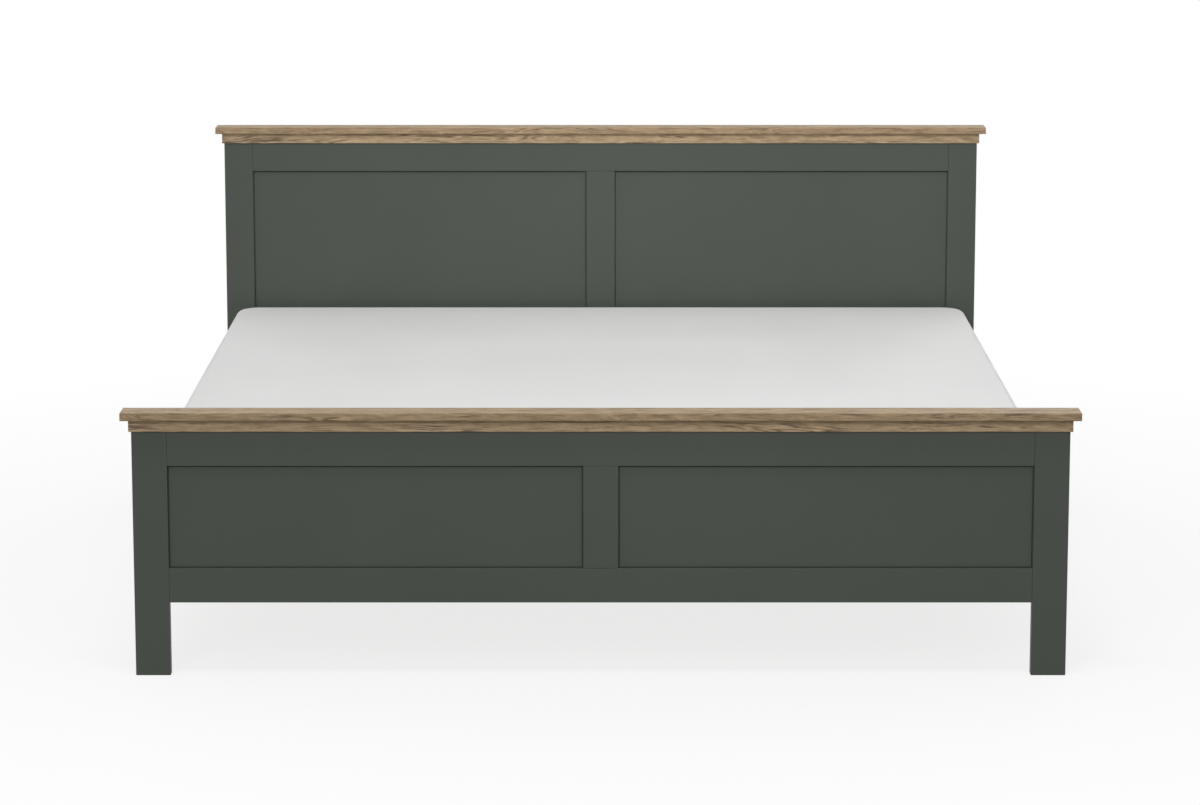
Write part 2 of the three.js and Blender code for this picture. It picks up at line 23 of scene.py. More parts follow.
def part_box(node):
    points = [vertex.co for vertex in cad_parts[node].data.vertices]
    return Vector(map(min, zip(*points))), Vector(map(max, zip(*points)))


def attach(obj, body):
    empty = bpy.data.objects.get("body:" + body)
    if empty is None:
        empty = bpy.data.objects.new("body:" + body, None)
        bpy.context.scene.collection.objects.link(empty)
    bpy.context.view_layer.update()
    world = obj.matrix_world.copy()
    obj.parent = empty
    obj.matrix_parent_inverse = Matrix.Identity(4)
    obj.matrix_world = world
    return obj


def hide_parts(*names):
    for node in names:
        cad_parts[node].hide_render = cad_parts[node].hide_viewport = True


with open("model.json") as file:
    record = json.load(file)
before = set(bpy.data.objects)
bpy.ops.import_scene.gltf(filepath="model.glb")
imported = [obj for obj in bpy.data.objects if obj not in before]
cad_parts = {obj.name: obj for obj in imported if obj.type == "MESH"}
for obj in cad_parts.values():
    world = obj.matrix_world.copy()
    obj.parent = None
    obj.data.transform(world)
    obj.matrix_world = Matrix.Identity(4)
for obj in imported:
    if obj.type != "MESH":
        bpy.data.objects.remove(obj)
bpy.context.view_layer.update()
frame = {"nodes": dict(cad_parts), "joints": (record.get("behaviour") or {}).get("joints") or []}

LOG = logging.getLogger("storage_bed")
SHARP_ANGLE = math.radians(32)
SIDES = ((-1, "left"), (1, "right"))
ENDS = ((-1, "foot"), (1, "head"))
SMOOTH_PROFILE = 0.5
KEEP_MATERIAL = -1
EDGE_STEPS = 3
COPIED_EDGE_STEPS = 2
# Corners of a mesh that are nearer than this are one corner.
SAME_PLACE = 1e-5
# The same for the ends of a full turn, and for corners that already lie on a cutting plane.
TOUCHING = 1e-6
# The thickness of the sheet that every bracket is folded from.
BRACKET_SHEET = 0.003
# A wave texture of scale 1 has a band every 2 pi / 20 of a unit.
WAVE_BAND = 2 * math.pi / 20
# Most of a noise texture's values lie between these.
NOISE_LOW = 0.3
NOISE_HIGH = 0.7

Pair = tuple[float, float]
Triple = tuple[float, float, float]
Colour = Triple
Socket = bpy.types.NodeSocket
Piece = bpy.types.Object
Shape = bmesh.types.BMesh


class Grain(Enum):
    """The way that a board's grain runs."""

    ACROSS = 0
    ALONG = 1
    UPRIGHT = 2

    def stretch(self, lengthwise: float, crosswise: float) -> Triple:
        """A texture scale that is small along the grain and large across it."""
        return tuple(lengthwise if i == self.value else crosswise for i in range(3))


class Slot(Enum):
    """The record's material slots."""

    LACQUER = "green_lacquer"
    OAK = "oak_decor"
    PINE = "pine"
    HARDBOARD = "hardboard"
    BLACK_STEEL = "black_steel"
    ZINC = "zinc_steel"
    CHROME = "rod_chrome"
    TICKING = "mattress_ticking"
    WEBBING = "strap_webbing"


class Body(Enum):
    """The bodies that pieces ride on."""

    FRAME = "frame"
    PLATFORM = "platform"
    LEFT_CYLINDER = "left_cylinder"
    LEFT_ROD = "left_rod"
    RIGHT_CYLINDER = "right_cylinder"
    RIGHT_ROD = "right_rod"


class NodeBuilder:
    """Builds the nodes of one material round its Principled shader."""

    def __init__(self, name: str) -> None:
        """Starts a material.

        Args:
            name: the material's name.
        """
        self.material = bpy.data.materials.new(name)
        self.material.use_nodes = True
        self.tree = self.material.node_tree
        self.shader = self.tree.nodes["Principled BSDF"]

    def set(self, socket: str, value: float | Colour) -> None:
        """Sets one of the shader's own sockets."""
        self.shader.inputs[socket].default_value = (*value, 1.0) if isinstance(value, tuple) else value

    def feed(self, socket: str, source: Socket) -> None:
        """Links a texture to one of the shader's sockets."""
        self.tree.links.new(source, self.shader.inputs[socket])

    def place(self, scale: Triple, turn: Triple = (0.0, 0.0, 0.0), shift: float = 0.0) -> Socket:
        """Object coordinates, shifted, turned and then scaled.

        Args:
            scale: how many texture units a metre has along X, Y and Z.
            turn: angles about X, Y and Z in radians.
            shift: how far the texture moves along each axis, in metres.

        Returns:
            The socket with the coordinates.
        """
        coordinates = self.tree.nodes.new("ShaderNodeTexCoord")
        mapping = self.tree.nodes.new("ShaderNodeMapping")
        mapping.vector_type = "TEXTURE"
        mapping.inputs["Scale"].default_value = tuple(1.0 / count for count in scale)
        mapping.inputs["Rotation"].default_value = turn
        mapping.inputs["Location"].default_value = (shift, shift, shift)
        self.tree.links.new(coordinates.outputs["Object"], mapping.inputs["Vector"])
        return mapping.outputs["Vector"]

    def noise(self, vector: Socket, detail: float = 2.0, rough: float = 0.5, bend: float = 0.0) -> Socket:
        """A noise texture on coordinates that are scaled already.

        Args:
            vector: the coordinates.
            detail: the number of finer layers.
            rough: how strong the finer layers are.
            bend: how far the noise distorts itself.

        Returns:
            The socket with the noise, about 0.5 on average.
        """
        texture = self.tree.nodes.new("ShaderNodeTexNoise")
        texture.inputs["Scale"].default_value = 1.0
        texture.inputs["Detail"].default_value = detail
        texture.inputs["Roughness"].default_value = rough
        texture.inputs["Distortion"].default_value = bend
        self.tree.links.new(vector, texture.inputs["Vector"])
        return texture.outputs["Fac"]

    def wave(self, vector: Socket, direction: str, bend: float = 0.0, detail: float = 2.0) -> Socket:
        """Bands across one direction of the coordinates.

        Args:
            vector: the coordinates.
            direction: X, Y, Z or DIAGONAL.
            bend: how far noise pushes the bands aside.
            detail: the number of finer layers in that noise.

        Returns:
            The socket with the bands, from 0 to 1.
        """
        texture = self.tree.nodes.new("ShaderNodeTexWave")
        texture.wave_type = "BANDS"
        texture.bands_direction = direction
        texture.inputs["Scale"].default_value = 1.0
        texture.inputs["Distortion"].default_value = bend
        texture.inputs["Detail"].default_value = detail
        texture.inputs["Detail Scale"].default_value = 1.0
        self.tree.links.new(vector, texture.inputs["Vector"])
        return texture.outputs["Fac"]

    def span(
        self, source: Socket, low: float, high: float, bottom: float = 0.0, top: float = 1.0
    ) -> Socket:
        """Stretches one range of values onto another, clamped.

        Args:
            source: the values.
            low: the value that becomes the bottom.
            high: the value that becomes the top.
            bottom: the lowest result.
            top: the highest result.

        Returns:
            The socket with the result.
        """
        node = self.tree.nodes.new("ShaderNodeMapRange")
        node.inputs["From Min"].default_value = low
        node.inputs["From Max"].default_value = high
        node.inputs["To Min"].default_value = bottom
        node.inputs["To Max"].default_value = top
        self.tree.links.new(source, node.inputs["Value"])
        return node.outputs["Result"]

    def weigh(self, parts: Sequence[tuple[Socket, float]]) -> Socket:
        """The sum of several sockets, each times its weight.

        Args:
            parts: the sockets with their weights.

        Returns:
            The socket with the sum.
        """
        total = None
        for source, weight in parts:
            node = self.tree.nodes.new("ShaderNodeMath")
            node.operation = "MULTIPLY_ADD"
            node.inputs[1].default_value = weight
            self.tree.links.new(source, node.inputs[0])
            if total is None:
                node.inputs[2].default_value = 0.0
            else:
                self.tree.links.new(total, node.inputs[2])
            total = node.outputs[0]
        return total

    def times(self, first: Socket, second: Socket) -> Socket:
        """The product of two sockets.

        Args:
            first: one factor.
            second: the other.

        Returns:
            The socket with the product.
        """
        node = self.tree.nodes.new("ShaderNodeMath")
        node.operation = "MULTIPLY"
        self.tree.links.new(first, node.inputs[0])
        self.tree.links.new(second, node.inputs[1])
        return node.outputs[0]

    def ramp(self, source: Socket, stops: Sequence[tuple[float, Colour]]) -> Socket:
        """A colour ramp over a factor.

        Args:
            source: the factor.
            stops: positions with their colours, in rising order.

        Returns:
            The socket with the colour.
        """
        node = self.tree.nodes.new("ShaderNodeValToRGB")
        marks = node.color_ramp.elements
        while len(marks) < len(stops):
            marks.new(1.0)
        for mark, (position, colour) in zip(marks, stops):
            mark.position = position
            mark.color = (*colour, 1.0)
        self.tree.links.new(source, node.inputs["Fac"])
        return node.outputs["Color"]

    def blend(self, factor: Socket, under: Socket, over: Colour) -> Socket:
        """A colour laid over another.

        Args:
            factor: how far it covers the other, from 0 to 1.
            under: the colour below.
            over: the colour laid on top.

        Returns:
            The socket with the colour.
        """
        node = self.tree.nodes.new("ShaderNodeMix")
        node.data_type = "RGBA"
        self.tree.links.new(factor, node.inputs["Factor"])
        colours = [socket for socket in node.inputs if socket.type == "RGBA"]
        self.tree.links.new(under, colours[0])
        colours[1].default_value = (*over, 1.0)
        return [socket for socket in node.outputs if socket.type == "RGBA"][0]

    def even(self, scale: float) -> Socket:
        """Coordinates scaled alike along X, Y and Z."""
        return self.place((scale, scale, scale))

    def tint(
        self, source: Socket, colour: Colour, darker: float, lighter: float, margin: float = 0.3
    ) -> None:
        """Colours the surface by a texture, from a darker to a lighter shade.

        Args:
            source: the texture.
            colour: the finish's own colour.
            darker: the factor of its dark shade.
            lighter: the factor of its light shade.
            margin: how far from 0 and from 1 the two shades lie in the texture.
        """
        stops = [(margin, shaded(colour, darker)), (1.0 - margin, shaded(colour, lighter))]
        self.feed("Base Color", self.ramp(source, stops))

    def polish(self, source: Socket, low: float, high: float) -> None:
        """Varies the roughness by a noise, from one value to another."""
        self.feed("Roughness", self.span(source, NOISE_LOW, NOISE_HIGH, low, high))

    def bump(self, height: Socket, strength: float, depth: float) -> None:
        """Raises the surface by a texture.

        Args:
            height: the texture.
            strength: how strongly it shows, from 0 to 1.
            depth: how high it rises, in metres.
        """
        node = self.tree.nodes.new("ShaderNodeBump")
        node.inputs["Strength"].default_value = strength
        node.inputs["Distance"].default_value = depth
        self.tree.links.new(height, node.inputs["Height"])
        self.feed("Normal", node.outputs["Normal"])


def shaded(colour: Colour, factor: float) -> Colour:
    """A colour made lighter or darker by a factor."""
    return tuple(channel * factor for channel in colour)


@dataclass(frozen=True)
class Lacquer:
    """Satin grey-green lacquer on board, with a fine orange peel."""

    name: str = "Grey-green lacquer"
    colour: Colour = (0.0674, 0.0795, 0.0650)
    roughness: float = 0.5
    specular: float = 0.35

    def build(self) -> bpy.types.Material:
        """Builds the finish's nodes.

        Returns:
            The new material.
        """
        nodes = NodeBuilder(self.name)
        cloud = nodes.noise(nodes.even(2.4), detail=3.0)
        nodes.tint(cloud, self.colour, 0.95, 1.05)
        peel = nodes.noise(nodes.even(620.0), detail=2.0)
        streak = nodes.noise(nodes.place((36.0, 36.0, 9.0)), detail=4.0)
        shine = nodes.weigh([(peel, 0.06), (streak, 0.10)])
        nodes.feed("Roughness", nodes.span(shine, 0.04, 0.12, self.roughness - 0.04, self.roughness + 0.04))
        nodes.bump(peel, 0.12, 0.0002)
        nodes.set("Specular IOR Level", self.specular)
        return nodes.material


@dataclass(frozen=True)
class OakDecor:
    """Matt oak-look decor, its grain running across the bed, with slanted flecks and dark cracks.

    Each scale is in texture units per metre, first along the grain and then across it.
    """

    name: str = "Oak decor"
    light: Colour = (0.539, 0.393, 0.245)
    tan: Colour = (0.395, 0.285, 0.173)
    brown: Colour = (0.230, 0.160, 0.095)
    dark: Colour = (0.115, 0.078, 0.048)
    roughness: float = 0.6
    specular: float = 0.2
    contrast: float = 0.14
    shift: float = 0.0
    fibre_scale: Pair = (15.0, 560.0)
    patch_scale: Pair = (3.6, 36.0)
    mottle_scale: Pair = (28.0, 120.0)
    fleck: float = 0.62
    fleck_slant: float = math.radians(15.0)
    fleck_scale: Pair = (70.0, 520.0)
    zone_scale: Pair = (6.0, 30.0)
    crack_scale: Pair = (2.2, 34.0)
    crack_levels: tuple[float, ...] = (0.40, 0.46, 0.52, 0.59)
    crack_width: float = 0.024
    pore_scale: Pair = (22.0, 900.0)

    def build(self) -> bpy.types.Material:
        """Builds the finish's nodes.

        Returns:
            The new material.
        """
        nodes = NodeBuilder(self.name)
        fibres = nodes.noise(self.grained(nodes, self.fibre_scale), detail=5.0, rough=0.75)
        patches = nodes.noise(self.grained(nodes, self.patch_scale), detail=5.0, bend=1.0)
        flecks = nodes.noise(self.grained(nodes, self.fleck_scale, self.fleck_slant), detail=3.0, rough=0.6)
        mottle = nodes.noise(self.grained(nodes, self.mottle_scale), detail=4.0, bend=0.6)
        zone = nodes.span(nodes.noise(self.grained(nodes, self.zone_scale)), 0.42, 0.62)
        ground = [(fibres, 0.62), (patches, 0.36), (mottle, 0.32)]
        middle = sum(weight for _, weight in ground) / 2
        # Outside its zones, the fleck term is nothing; inside, it is the flecks less their mean.
        ripple = [(nodes.times(flecks, zone), self.fleck), (zone, -self.fleck / 2)]
        figure = nodes.weigh([*ground, *ripple])
        tone = nodes.ramp(
            nodes.span(figure, middle - self.contrast, middle + self.contrast),
            [(0.0, self.brown), (0.45, self.tan), (0.95, self.light)],
        )
        contours = nodes.noise(self.grained(nodes, self.crack_scale), detail=4.0, bend=0.5)
        lines = nodes.ramp(contours, self.crack_stops())
        gate = nodes.span(patches, 0.47, 0.58, 0.0, 0.9)
        nodes.feed("Base Color", nodes.blend(nodes.times(gate, lines), tone, self.dark))
        nodes.polish(fibres, self.roughness + 0.07, self.roughness - 0.07)
        pores = nodes.noise(nodes.place(Grain.ACROSS.stretch(*self.pore_scale)), detail=2.0)
        nodes.bump(nodes.weigh([(pores, 0.5), (fibres, 0.5)]), 0.25, 0.0003)
        nodes.set("Specular IOR Level", self.specular)
        return nodes.material

    def grained(self, nodes: NodeBuilder, scale: Pair, slant: float = 0.0) -> Socket:
        """Coordinates along the grain, moved by the decor's own shift."""
        return nodes.place(Grain.ACROSS.stretch(*scale), (0.0, slant, 0.0), self.shift)

    def crack_stops(self) -> list[tuple[float, Colour]]:
        """Ramp stops that draw a thin white line at each crack level and stay black between them.

        Returns:
            Each stop's position and its grey.
        """
        stops = []
        for level in self.crack_levels:
            for offset, value in ((-self.crack_width, 0.0), (0.0, 1.0), (self.crack_width, 0.0)):
                stops.append((level + offset, (value, value, value)))
        return stops


@dataclass(frozen=True)
class BareWood:
    """Planed bare softwood, with growth rings and darker late wood along its grain."""

    name: str
    grain: Grain
    pale: Colour = (0.66, 0.49, 0.295)
    late: Colour = (0.53, 0.36, 0.19)
    roughness: float = 0.62

    def build(self) -> bpy.types.Material:
        """Builds the finish's nodes.

        Returns:
            The new material.
        """
        nodes = NodeBuilder(self.name)
        rings = nodes.wave(nodes.place(self.grain.stretch(0.9, 24.0)), "DIAGONAL", bend=5.0, detail=2.0)
        fibres = nodes.noise(nodes.place(self.grain.stretch(9.0, 420.0)), detail=3.0, rough=0.6)
        cloud = nodes.noise(nodes.place(self.grain.stretch(1.4, 6.0)), detail=2.0)
        figure = nodes.weigh([(rings, 0.42), (fibres, 0.36), (cloud, 0.45)])
        tone = nodes.ramp(
            nodes.span(figure, 0.35, 0.98),
            [(0.0, self.late), (0.5, self.pale), (1.0, shaded(self.pale, 1.12))],
        )
        nodes.feed("Base Color", tone)
        nodes.polish(fibres, self.roughness + 0.06, self.roughness - 0.06)
        nodes.bump(fibres, 0.25, 0.0003)
        return nodes.material


@dataclass(frozen=True)
class Hardboard:
    """Smooth hardboard, with the short fibres of its pulp."""

    name: str = "Hardboard"
    colour: Colour = (0.40, 0.30, 0.195)
    roughness: float = 0.58

    def build(self) -> bpy.types.Material:
        """Builds the finish's nodes.

        Returns:
            The new material.
        """
        nodes = NodeBuilder(self.name)
        pulp = nodes.noise(nodes.place((160.0, 90.0, 160.0)), detail=5.0, rough=0.7, bend=1.2)
        cloud = nodes.noise(nodes.even(2.0), detail=2.0)
        figure = nodes.weigh([(pulp, 0.7), (cloud, 0.3)])
        nodes.tint(figure, self.colour, 0.78, 1.16, margin=0.32)
        nodes.polish(pulp, self.roughness + 0.08, self.roughness - 0.08)
        nodes.bump(pulp, 0.2, 0.0002)
        return nodes.material


@dataclass(frozen=True)
class PowderCoat:
    """Black powder coat on steel, with its fine pebbled skin."""

    name: str = "Black powder coat"
    colour: Colour = (0.018, 0.019, 0.021)
    roughness: float = 0.42
    pebble: float = 900.0

    def build(self) -> bpy.types.Material:
        """Builds the finish's nodes.

        Returns:
            The new material.
        """
        nodes = NodeBuilder(self.name)
        pebbles = nodes.noise(nodes.even(self.pebble), detail=2.0)
        cloud = nodes.noise(nodes.even(7.0), detail=3.0)
        nodes.tint(cloud, self.colour, 0.85, 1.3)
        nodes.polish(cloud, self.roughness - 0.06, self.roughness + 0.08)
        nodes.bump(pebbles, 0.3, 0.0003)
        return nodes.material


@dataclass(frozen=True)
class ZincPlate:
    """Zinc-plated sheet steel, faintly clouded and rolled lengthwise."""

    name: str = "Zinc plate"
    colour: Colour = (0.55, 0.56, 0.57)
    roughness: float = 0.34

    def build(self) -> bpy.types.Material:
        """Builds the finish's nodes.

        Returns:
            The new material.
        """
        nodes = NodeBuilder(self.name)
        rolled = nodes.noise(nodes.place((700.0, 700.0, 14.0)), detail=3.0)
        cloud = nodes.noise(nodes.even(60.0), detail=4.0)
        nodes.tint(cloud, self.colour, 0.8, 1.1)
        nodes.polish(rolled, self.roughness - 0.08, self.roughness + 0.12)
        nodes.bump(rolled, 0.08, 0.0001)
        nodes.set("Metallic", 1.0)
        return nodes.material


@dataclass(frozen=True)
class PolishedRod:
    """The hard-chromed rod of a gas strut, ground round its axis."""

    name: str = "Chromed rod"
    colour: Colour = (0.62, 0.63, 0.65)
    roughness: float = 0.14

    def build(self) -> bpy.types.Material:
        """Builds the finish's nodes.

        Returns:
            The new material.
        """
        nodes = NodeBuilder(self.name)
        ground = nodes.noise(nodes.place((90.0, 2600.0, 90.0)), detail=2.0)
        nodes.polish(ground, self.roughness - 0.04, self.roughness + 0.08)
        nodes.tint(ground, self.colour, 0.94, 1.04)
        nodes.set("Metallic", 1.0)
        return nodes.material


@dataclass(frozen=True)
class Ticking:
    """Plain white knitted ticking of a mattress cover."""

    name: str = "White ticking"
    colour: Colour = (0.85, 0.85, 0.845)
    roughness: float = 0.9
    specular: float = 0.15
    sheen: float = 0.12
    sheen_roughness: float = 0.5
    loop: float = 0.0016

    def build(self) -> bpy.types.Material:
        """Builds the finish's nodes.

        Returns:
            The new material.
        """
        nodes = NodeBuilder(self.name)
        bands = WAVE_BAND / self.loop
        across = nodes.wave(nodes.place((bands, bands * 0.25, bands * 0.25)), "X", bend=0.6)
        along = nodes.wave(nodes.place((bands * 0.2, bands * 0.8, bands * 0.2)), "Y", bend=0.6)
        upright = nodes.wave(nodes.place((bands * 0.2, bands * 0.2, bands * 0.8)), "Z", bend=0.6)
        knit = nodes.weigh([(across, 0.4), (along, 0.35), (upright, 0.25)])
        nap = nodes.noise(nodes.even(420.0), detail=3.0)
        cloud = nodes.noise(nodes.even(3.0), detail=3.0)
        figure = nodes.weigh([(knit, 0.45), (nap, 0.2), (cloud, 0.35)])
        nodes.tint(figure, self.colour, 0.94, 1.03, margin=0.2)
        nodes.bump(nodes.weigh([(knit, 0.7), (nap, 0.3)]), 0.35, 0.0004)
        nodes.set("Roughness", self.roughness)
        nodes.set("Specular IOR Level", self.specular)
        nodes.set("Sheen Weight", self.sheen)
        nodes.set("Sheen Roughness", self.sheen_roughness)
        return nodes.material


@dataclass(frozen=True)
class Webbing:
    """Dark woven strap webbing."""

    name: str = "Strap webbing"
    colour: Colour = (0.030, 0.032, 0.035)
    roughness: float = 0.78
    sheen: float = 0.2
    rib: float = 0.0022

    def build(self) -> bpy.types.Material:
        """Builds the finish's nodes.

        Returns:
            The new material.
        """
        nodes = NodeBuilder(self.name)
        bands = WAVE_BAND / self.rib
        ribs = nodes.wave(nodes.even(bands), "X")
        picks = nodes.wave(nodes.place((bands, bands * 2.0, bands * 2.0)), "DIAGONAL")
        weave = nodes.weigh([(ribs, 0.55), (picks, 0.45)])
        nodes.tint(weave, self.colour, 0.6, 1.7, margin=0.2)
        nodes.bump(weave, 0.6, 0.0006)
        nodes.set("Roughness", self.roughness)
        nodes.set("Sheen Weight", self.sheen)
        return nodes.material


@dataclass(frozen=True)
class BlackPlastic:
    """Moulded black plastic of the tube plugs and strut seals."""

    name: str = "Black plastic"
    colour: Colour = (0.014, 0.014, 0.015)
    roughness: float = 0.48

    def build(self) -> bpy.types.Material:
        """Builds the finish's nodes.

        Returns:
            The new material.
        """
        nodes = NodeBuilder(self.name)
        spark = nodes.noise(nodes.even(1500.0), detail=2.0)
        nodes.tint(spark, self.colour, 0.8, 1.4)
        nodes.polish(spark, self.roughness - 0.05, self.roughness + 0.07)
        nodes.bump(spark, 0.15, 0.0001)
        return nodes.material


@dataclass(frozen=True)
class Finishes:
    """Every material of the bed, made once."""

    lacquer: bpy.types.Material
    oak: bpy.types.Material
    # The cap's oak decor drawn lighter for the mouldings: painted light.
    pale_oak: bpy.types.Material
    slat_wood: bpy.types.Material
    bearer_wood: bpy.types.Material
    leg_wood: bpy.types.Material
    hardboard: bpy.types.Material
    powder_coat: bpy.types.Material
    zinc: bpy.types.Material
    chrome: bpy.types.Material
    ticking: bpy.types.Material
    webbing: bpy.types.Material
    plastic: bpy.types.Material

    @classmethod
    def mix(cls) -> Finishes:
        """Makes all the materials.

        Returns:
            The materials by their use.
        """
        return cls(
            lacquer=Lacquer().build(),
            oak=OakDecor().build(),
            # The moulding's oak is the cap's decor drawn about 30 % lighter. This is painted light,
            # standing in for the light that the moulding catches from the front and from below. Its weaker
            # flecks and shifted figure are the decor's own variation.
            pale_oak=OakDecor(
                name="Oak decor with painted light",
                light=(0.689, 0.511, 0.322),
                tan=(0.511, 0.373, 0.231),
                brown=(0.298, 0.211, 0.128),
                fleck=0.42,
                shift=7.3,
            ).build(),
            slat_wood=BareWood("Pine across", Grain.ACROSS).build(),
            bearer_wood=BareWood("Pine along", Grain.ALONG).build(),
            leg_wood=BareWood("Pine upright", Grain.UPRIGHT).build(),
            hardboard=Hardboard().build(),
            powder_coat=PowderCoat().build(),
            zinc=ZincPlate().build(),
            chrome=PolishedRod().build(),
            ticking=Ticking().build(),
            webbing=Webbing().build(),
            plastic=BlackPlastic().build(),
        )


def dress(node: str, finish: bpy.types.Material, easing: float) -> None:
    """Gives a CAD node its finish and rounds its edges with live modifiers.

    Args:
        node: the node's name.
        finish: its material.
        easing: the width of the rounded edges in metres.
    """
    piece = frame["nodes"][node]
    piece.data.materials.clear()
    piece.data.materials.append(finish)
    weld = piece.modifiers.new("Merged corners", "WELD")
    weld.merge_threshold = SAME_PLACE
    bevel = piece.modifiers.new("Eased edges", "BEVEL")
    bevel.width = easing
    bevel.segments = EDGE_STEPS
    bevel.limit_method = "ANGLE"
    bevel.angle_limit = SHARP_ANGLE
    LOG.info("dressed %s in %s", node, finish.name)


def finished(name: str, shape: Shape, finish: bpy.types.Material) -> Piece:
    """Turns a shape into an object with smooth faces and crisp corners.

    Args:
        name: the piece's name.
        shape: its mesh, which is freed.
        finish: its material.

    Returns:
        The new object, at the origin.
    """
    bmesh.ops.recalc_face_normals(shape, faces=shape.faces)
    for face in shape.faces:
        face.smooth = True
    for edge in shape.edges:
        edge.smooth = edge.calc_face_angle(0.0) < SHARP_ANGLE
    mesh = bpy.data.meshes.new(name)
    shape.to_mesh(mesh)
    shape.free()
    mesh.materials.append(finish)
    piece = bpy.data.objects.new(name, mesh)
    bpy.context.scene.collection.objects.link(piece)
    return piece


def copied(node: str, name: str, finish: bpy.types.Material, easing: float) -> Piece:
    """Makes a piece from a copy of a CAD node, smooth where the node has facets, and hides the node.

    Args:
        node: the node's name.
        name: the new piece's name.
        finish: its material.
        easing: the width of the rounded edges in metres, or 0 for none.

    Returns:
        The new piece.
    """
    shape = bmesh.new()
    shape.from_mesh(frame["nodes"][node].data)
    bmesh.ops.remove_doubles(shape, verts=shape.verts, dist=SAME_PLACE)
    if easing:
        crisp = [edge for edge in shape.edges if edge.calc_face_angle(0.0) > SHARP_ANGLE]
        round_edges(shape, crisp, easing, COPIED_EDGE_STEPS, clamp=True)
    piece = finished(name, shape, finish)
    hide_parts(node)
    return piece


def settle(piece: Piece, body: Body) -> Piece:
    """Lets a new piece ride on a body and reports it.

    Args:
        piece: the piece.
        body: the body that carries it.

    Returns:
        The piece.
    """
    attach(piece, body.value)
    LOG.info("made %s, riding on %s", piece.name, body.value)
    return piece


def round_edges(
    shape: Shape,
    edges: Iterable[bmesh.types.BMEdge],
    width: float,
    segments: int = EDGE_STEPS,
    clamp: bool = False,
) -> None:
    """Rounds some edges of a shape.

    Args:
        shape: the shape.
        edges: its edges to round.
        width: how far the rounding reaches, in metres.
        segments: how many faces go round each edge.
        clamp: whether the rounding gives way where edges lie close together.
    """
    bmesh.ops.bevel(
        shape, geom=list(edges), offset=width, segments=segments, profile=SMOOTH_PROFILE, affect="EDGES",
        material=KEEP_MATERIAL, clamp_overlap=clamp,
    )


def block(size: Triple) -> Shape:
    """A box about the origin.

    Args:
        size: its extent along X, Y and Z.

    Returns:
        The shape.
    """
    shape = bmesh.new()
    bmesh.ops.create_cube(shape, size=1.0)
    bmesh.ops.scale(shape, vec=size, verts=shape.verts)
    return shape


def add_shape(target: Shape, part: Shape, matrix: Matrix) -> None:
    """Moves a part and adds it to a larger shape.

    Args:
        target: the larger shape.
        part: the part, which is freed.
        matrix: the move.
    """
    part.transform(matrix)
    carrier = bpy.data.meshes.new("carrier")
    part.to_mesh(carrier)
    part.free()
    target.from_mesh(carrier)
    bpy.data.meshes.remove(carrier)


def towards(place: Vector, axis: Vector) -> Matrix:
    """A matrix that takes the origin to a place and +Z to an axis."""
    turn = Vector((0.0, 0.0, 1.0)).rotation_difference(axis).to_matrix().to_4x4()
    return Matrix.Translation(place) @ turn


def turned(profile: Iterable[Pair], steps: int) -> Shape:
    """A solid of revolution about Z.

    Args:
        profile: closed outline of radius and height, not touching the axis, or open from axis to axis.
        steps: how many faces go round.

    Returns:
        The closed shape.
    """
    shape = bmesh.new()
    points = [shape.verts.new((radius, 0.0, height)) for radius, height in profile]
    edges = [shape.edges.new(pair) for pair in zip(points, points[1:])]
    bmesh.ops.spin(
        shape,
        geom=[*points, *edges],
        cent=(0.0, 0.0, 0.0),
        axis=(0.0, 0.0, 1.0),
        angle=2 * math.pi,
        steps=steps,
        use_merge=True,
    )
    bmesh.ops.remove_doubles(shape, verts=shape.verts, dist=TOUCHING)
    bmesh.ops.recalc_face_normals(shape, faces=shape.faces)
    return shape


@dataclass(frozen=True)
class BoltHead:
    """The button head of a bolt with a hexagon socket."""

    radius: float = 0.006
    height: float = 0.0032
    crown: float = 0.0016
    socket: float = 0.0022
    socket_depth: float = 0.0018
    sides: int = 24

    def shape(self) -> Shape:
        """The head on the plane z = 0.

        Returns:
            The closed shape, facing up.
        """
        head = bmesh.new()
        bmesh.ops.create_cone(
            head,
            cap_ends=True,
            segments=self.sides,
            radius1=self.radius,
            radius2=self.radius,
            depth=self.height,
            matrix=Matrix.Translation((0.0, 0.0, self.height / 2)),
        )
        rim = [edge for edge in head.edges if all(vert.co.z > self.height / 2 for vert in edge.verts)]
        round_edges(head, rim, self.crown)
        top = max(head.faces, key=lambda face: face.calc_center_median().z)
        bmesh.ops.inset_individual(head, faces=[top], thickness=self.crown / 2)
        # The corners of the round face move onto the six sides of the socket.
        sixth = math.pi / 3
        for vert in top.verts:
            angle = math.atan2(vert.co.y, vert.co.x)
            reach = self.socket / math.cos((angle % sixth) - sixth / 2)
            vert.co.x = reach * math.cos(angle)
            vert.co.y = reach * math.sin(angle)
        bmesh.ops.inset_individual(head, faces=[top], thickness=0.0, depth=-self.socket_depth)
        return head


def bracket_face(low: float, high: float, side: int) -> float:
    """The open face of the bracket leg that lies on the low or the high side of a range."""
    return (high if side > 0 else low) - side * BRACKET_SHEET


def bolt_set(name: str, places: Iterable[tuple[Vector, Vector]], finish: bpy.types.Material) -> Piece:
    """Several bolt heads as one piece.

    Args:
        name: the piece's name.
        places: where each head sits, with the direction that it faces.
        finish: its material.

    Returns:
        The new object.
    """
    heads = bmesh.new()
    for place, axis in places:
        add_shape(heads, BoltHead().shape(), towards(place, axis))
    return finished(name, heads, finish)


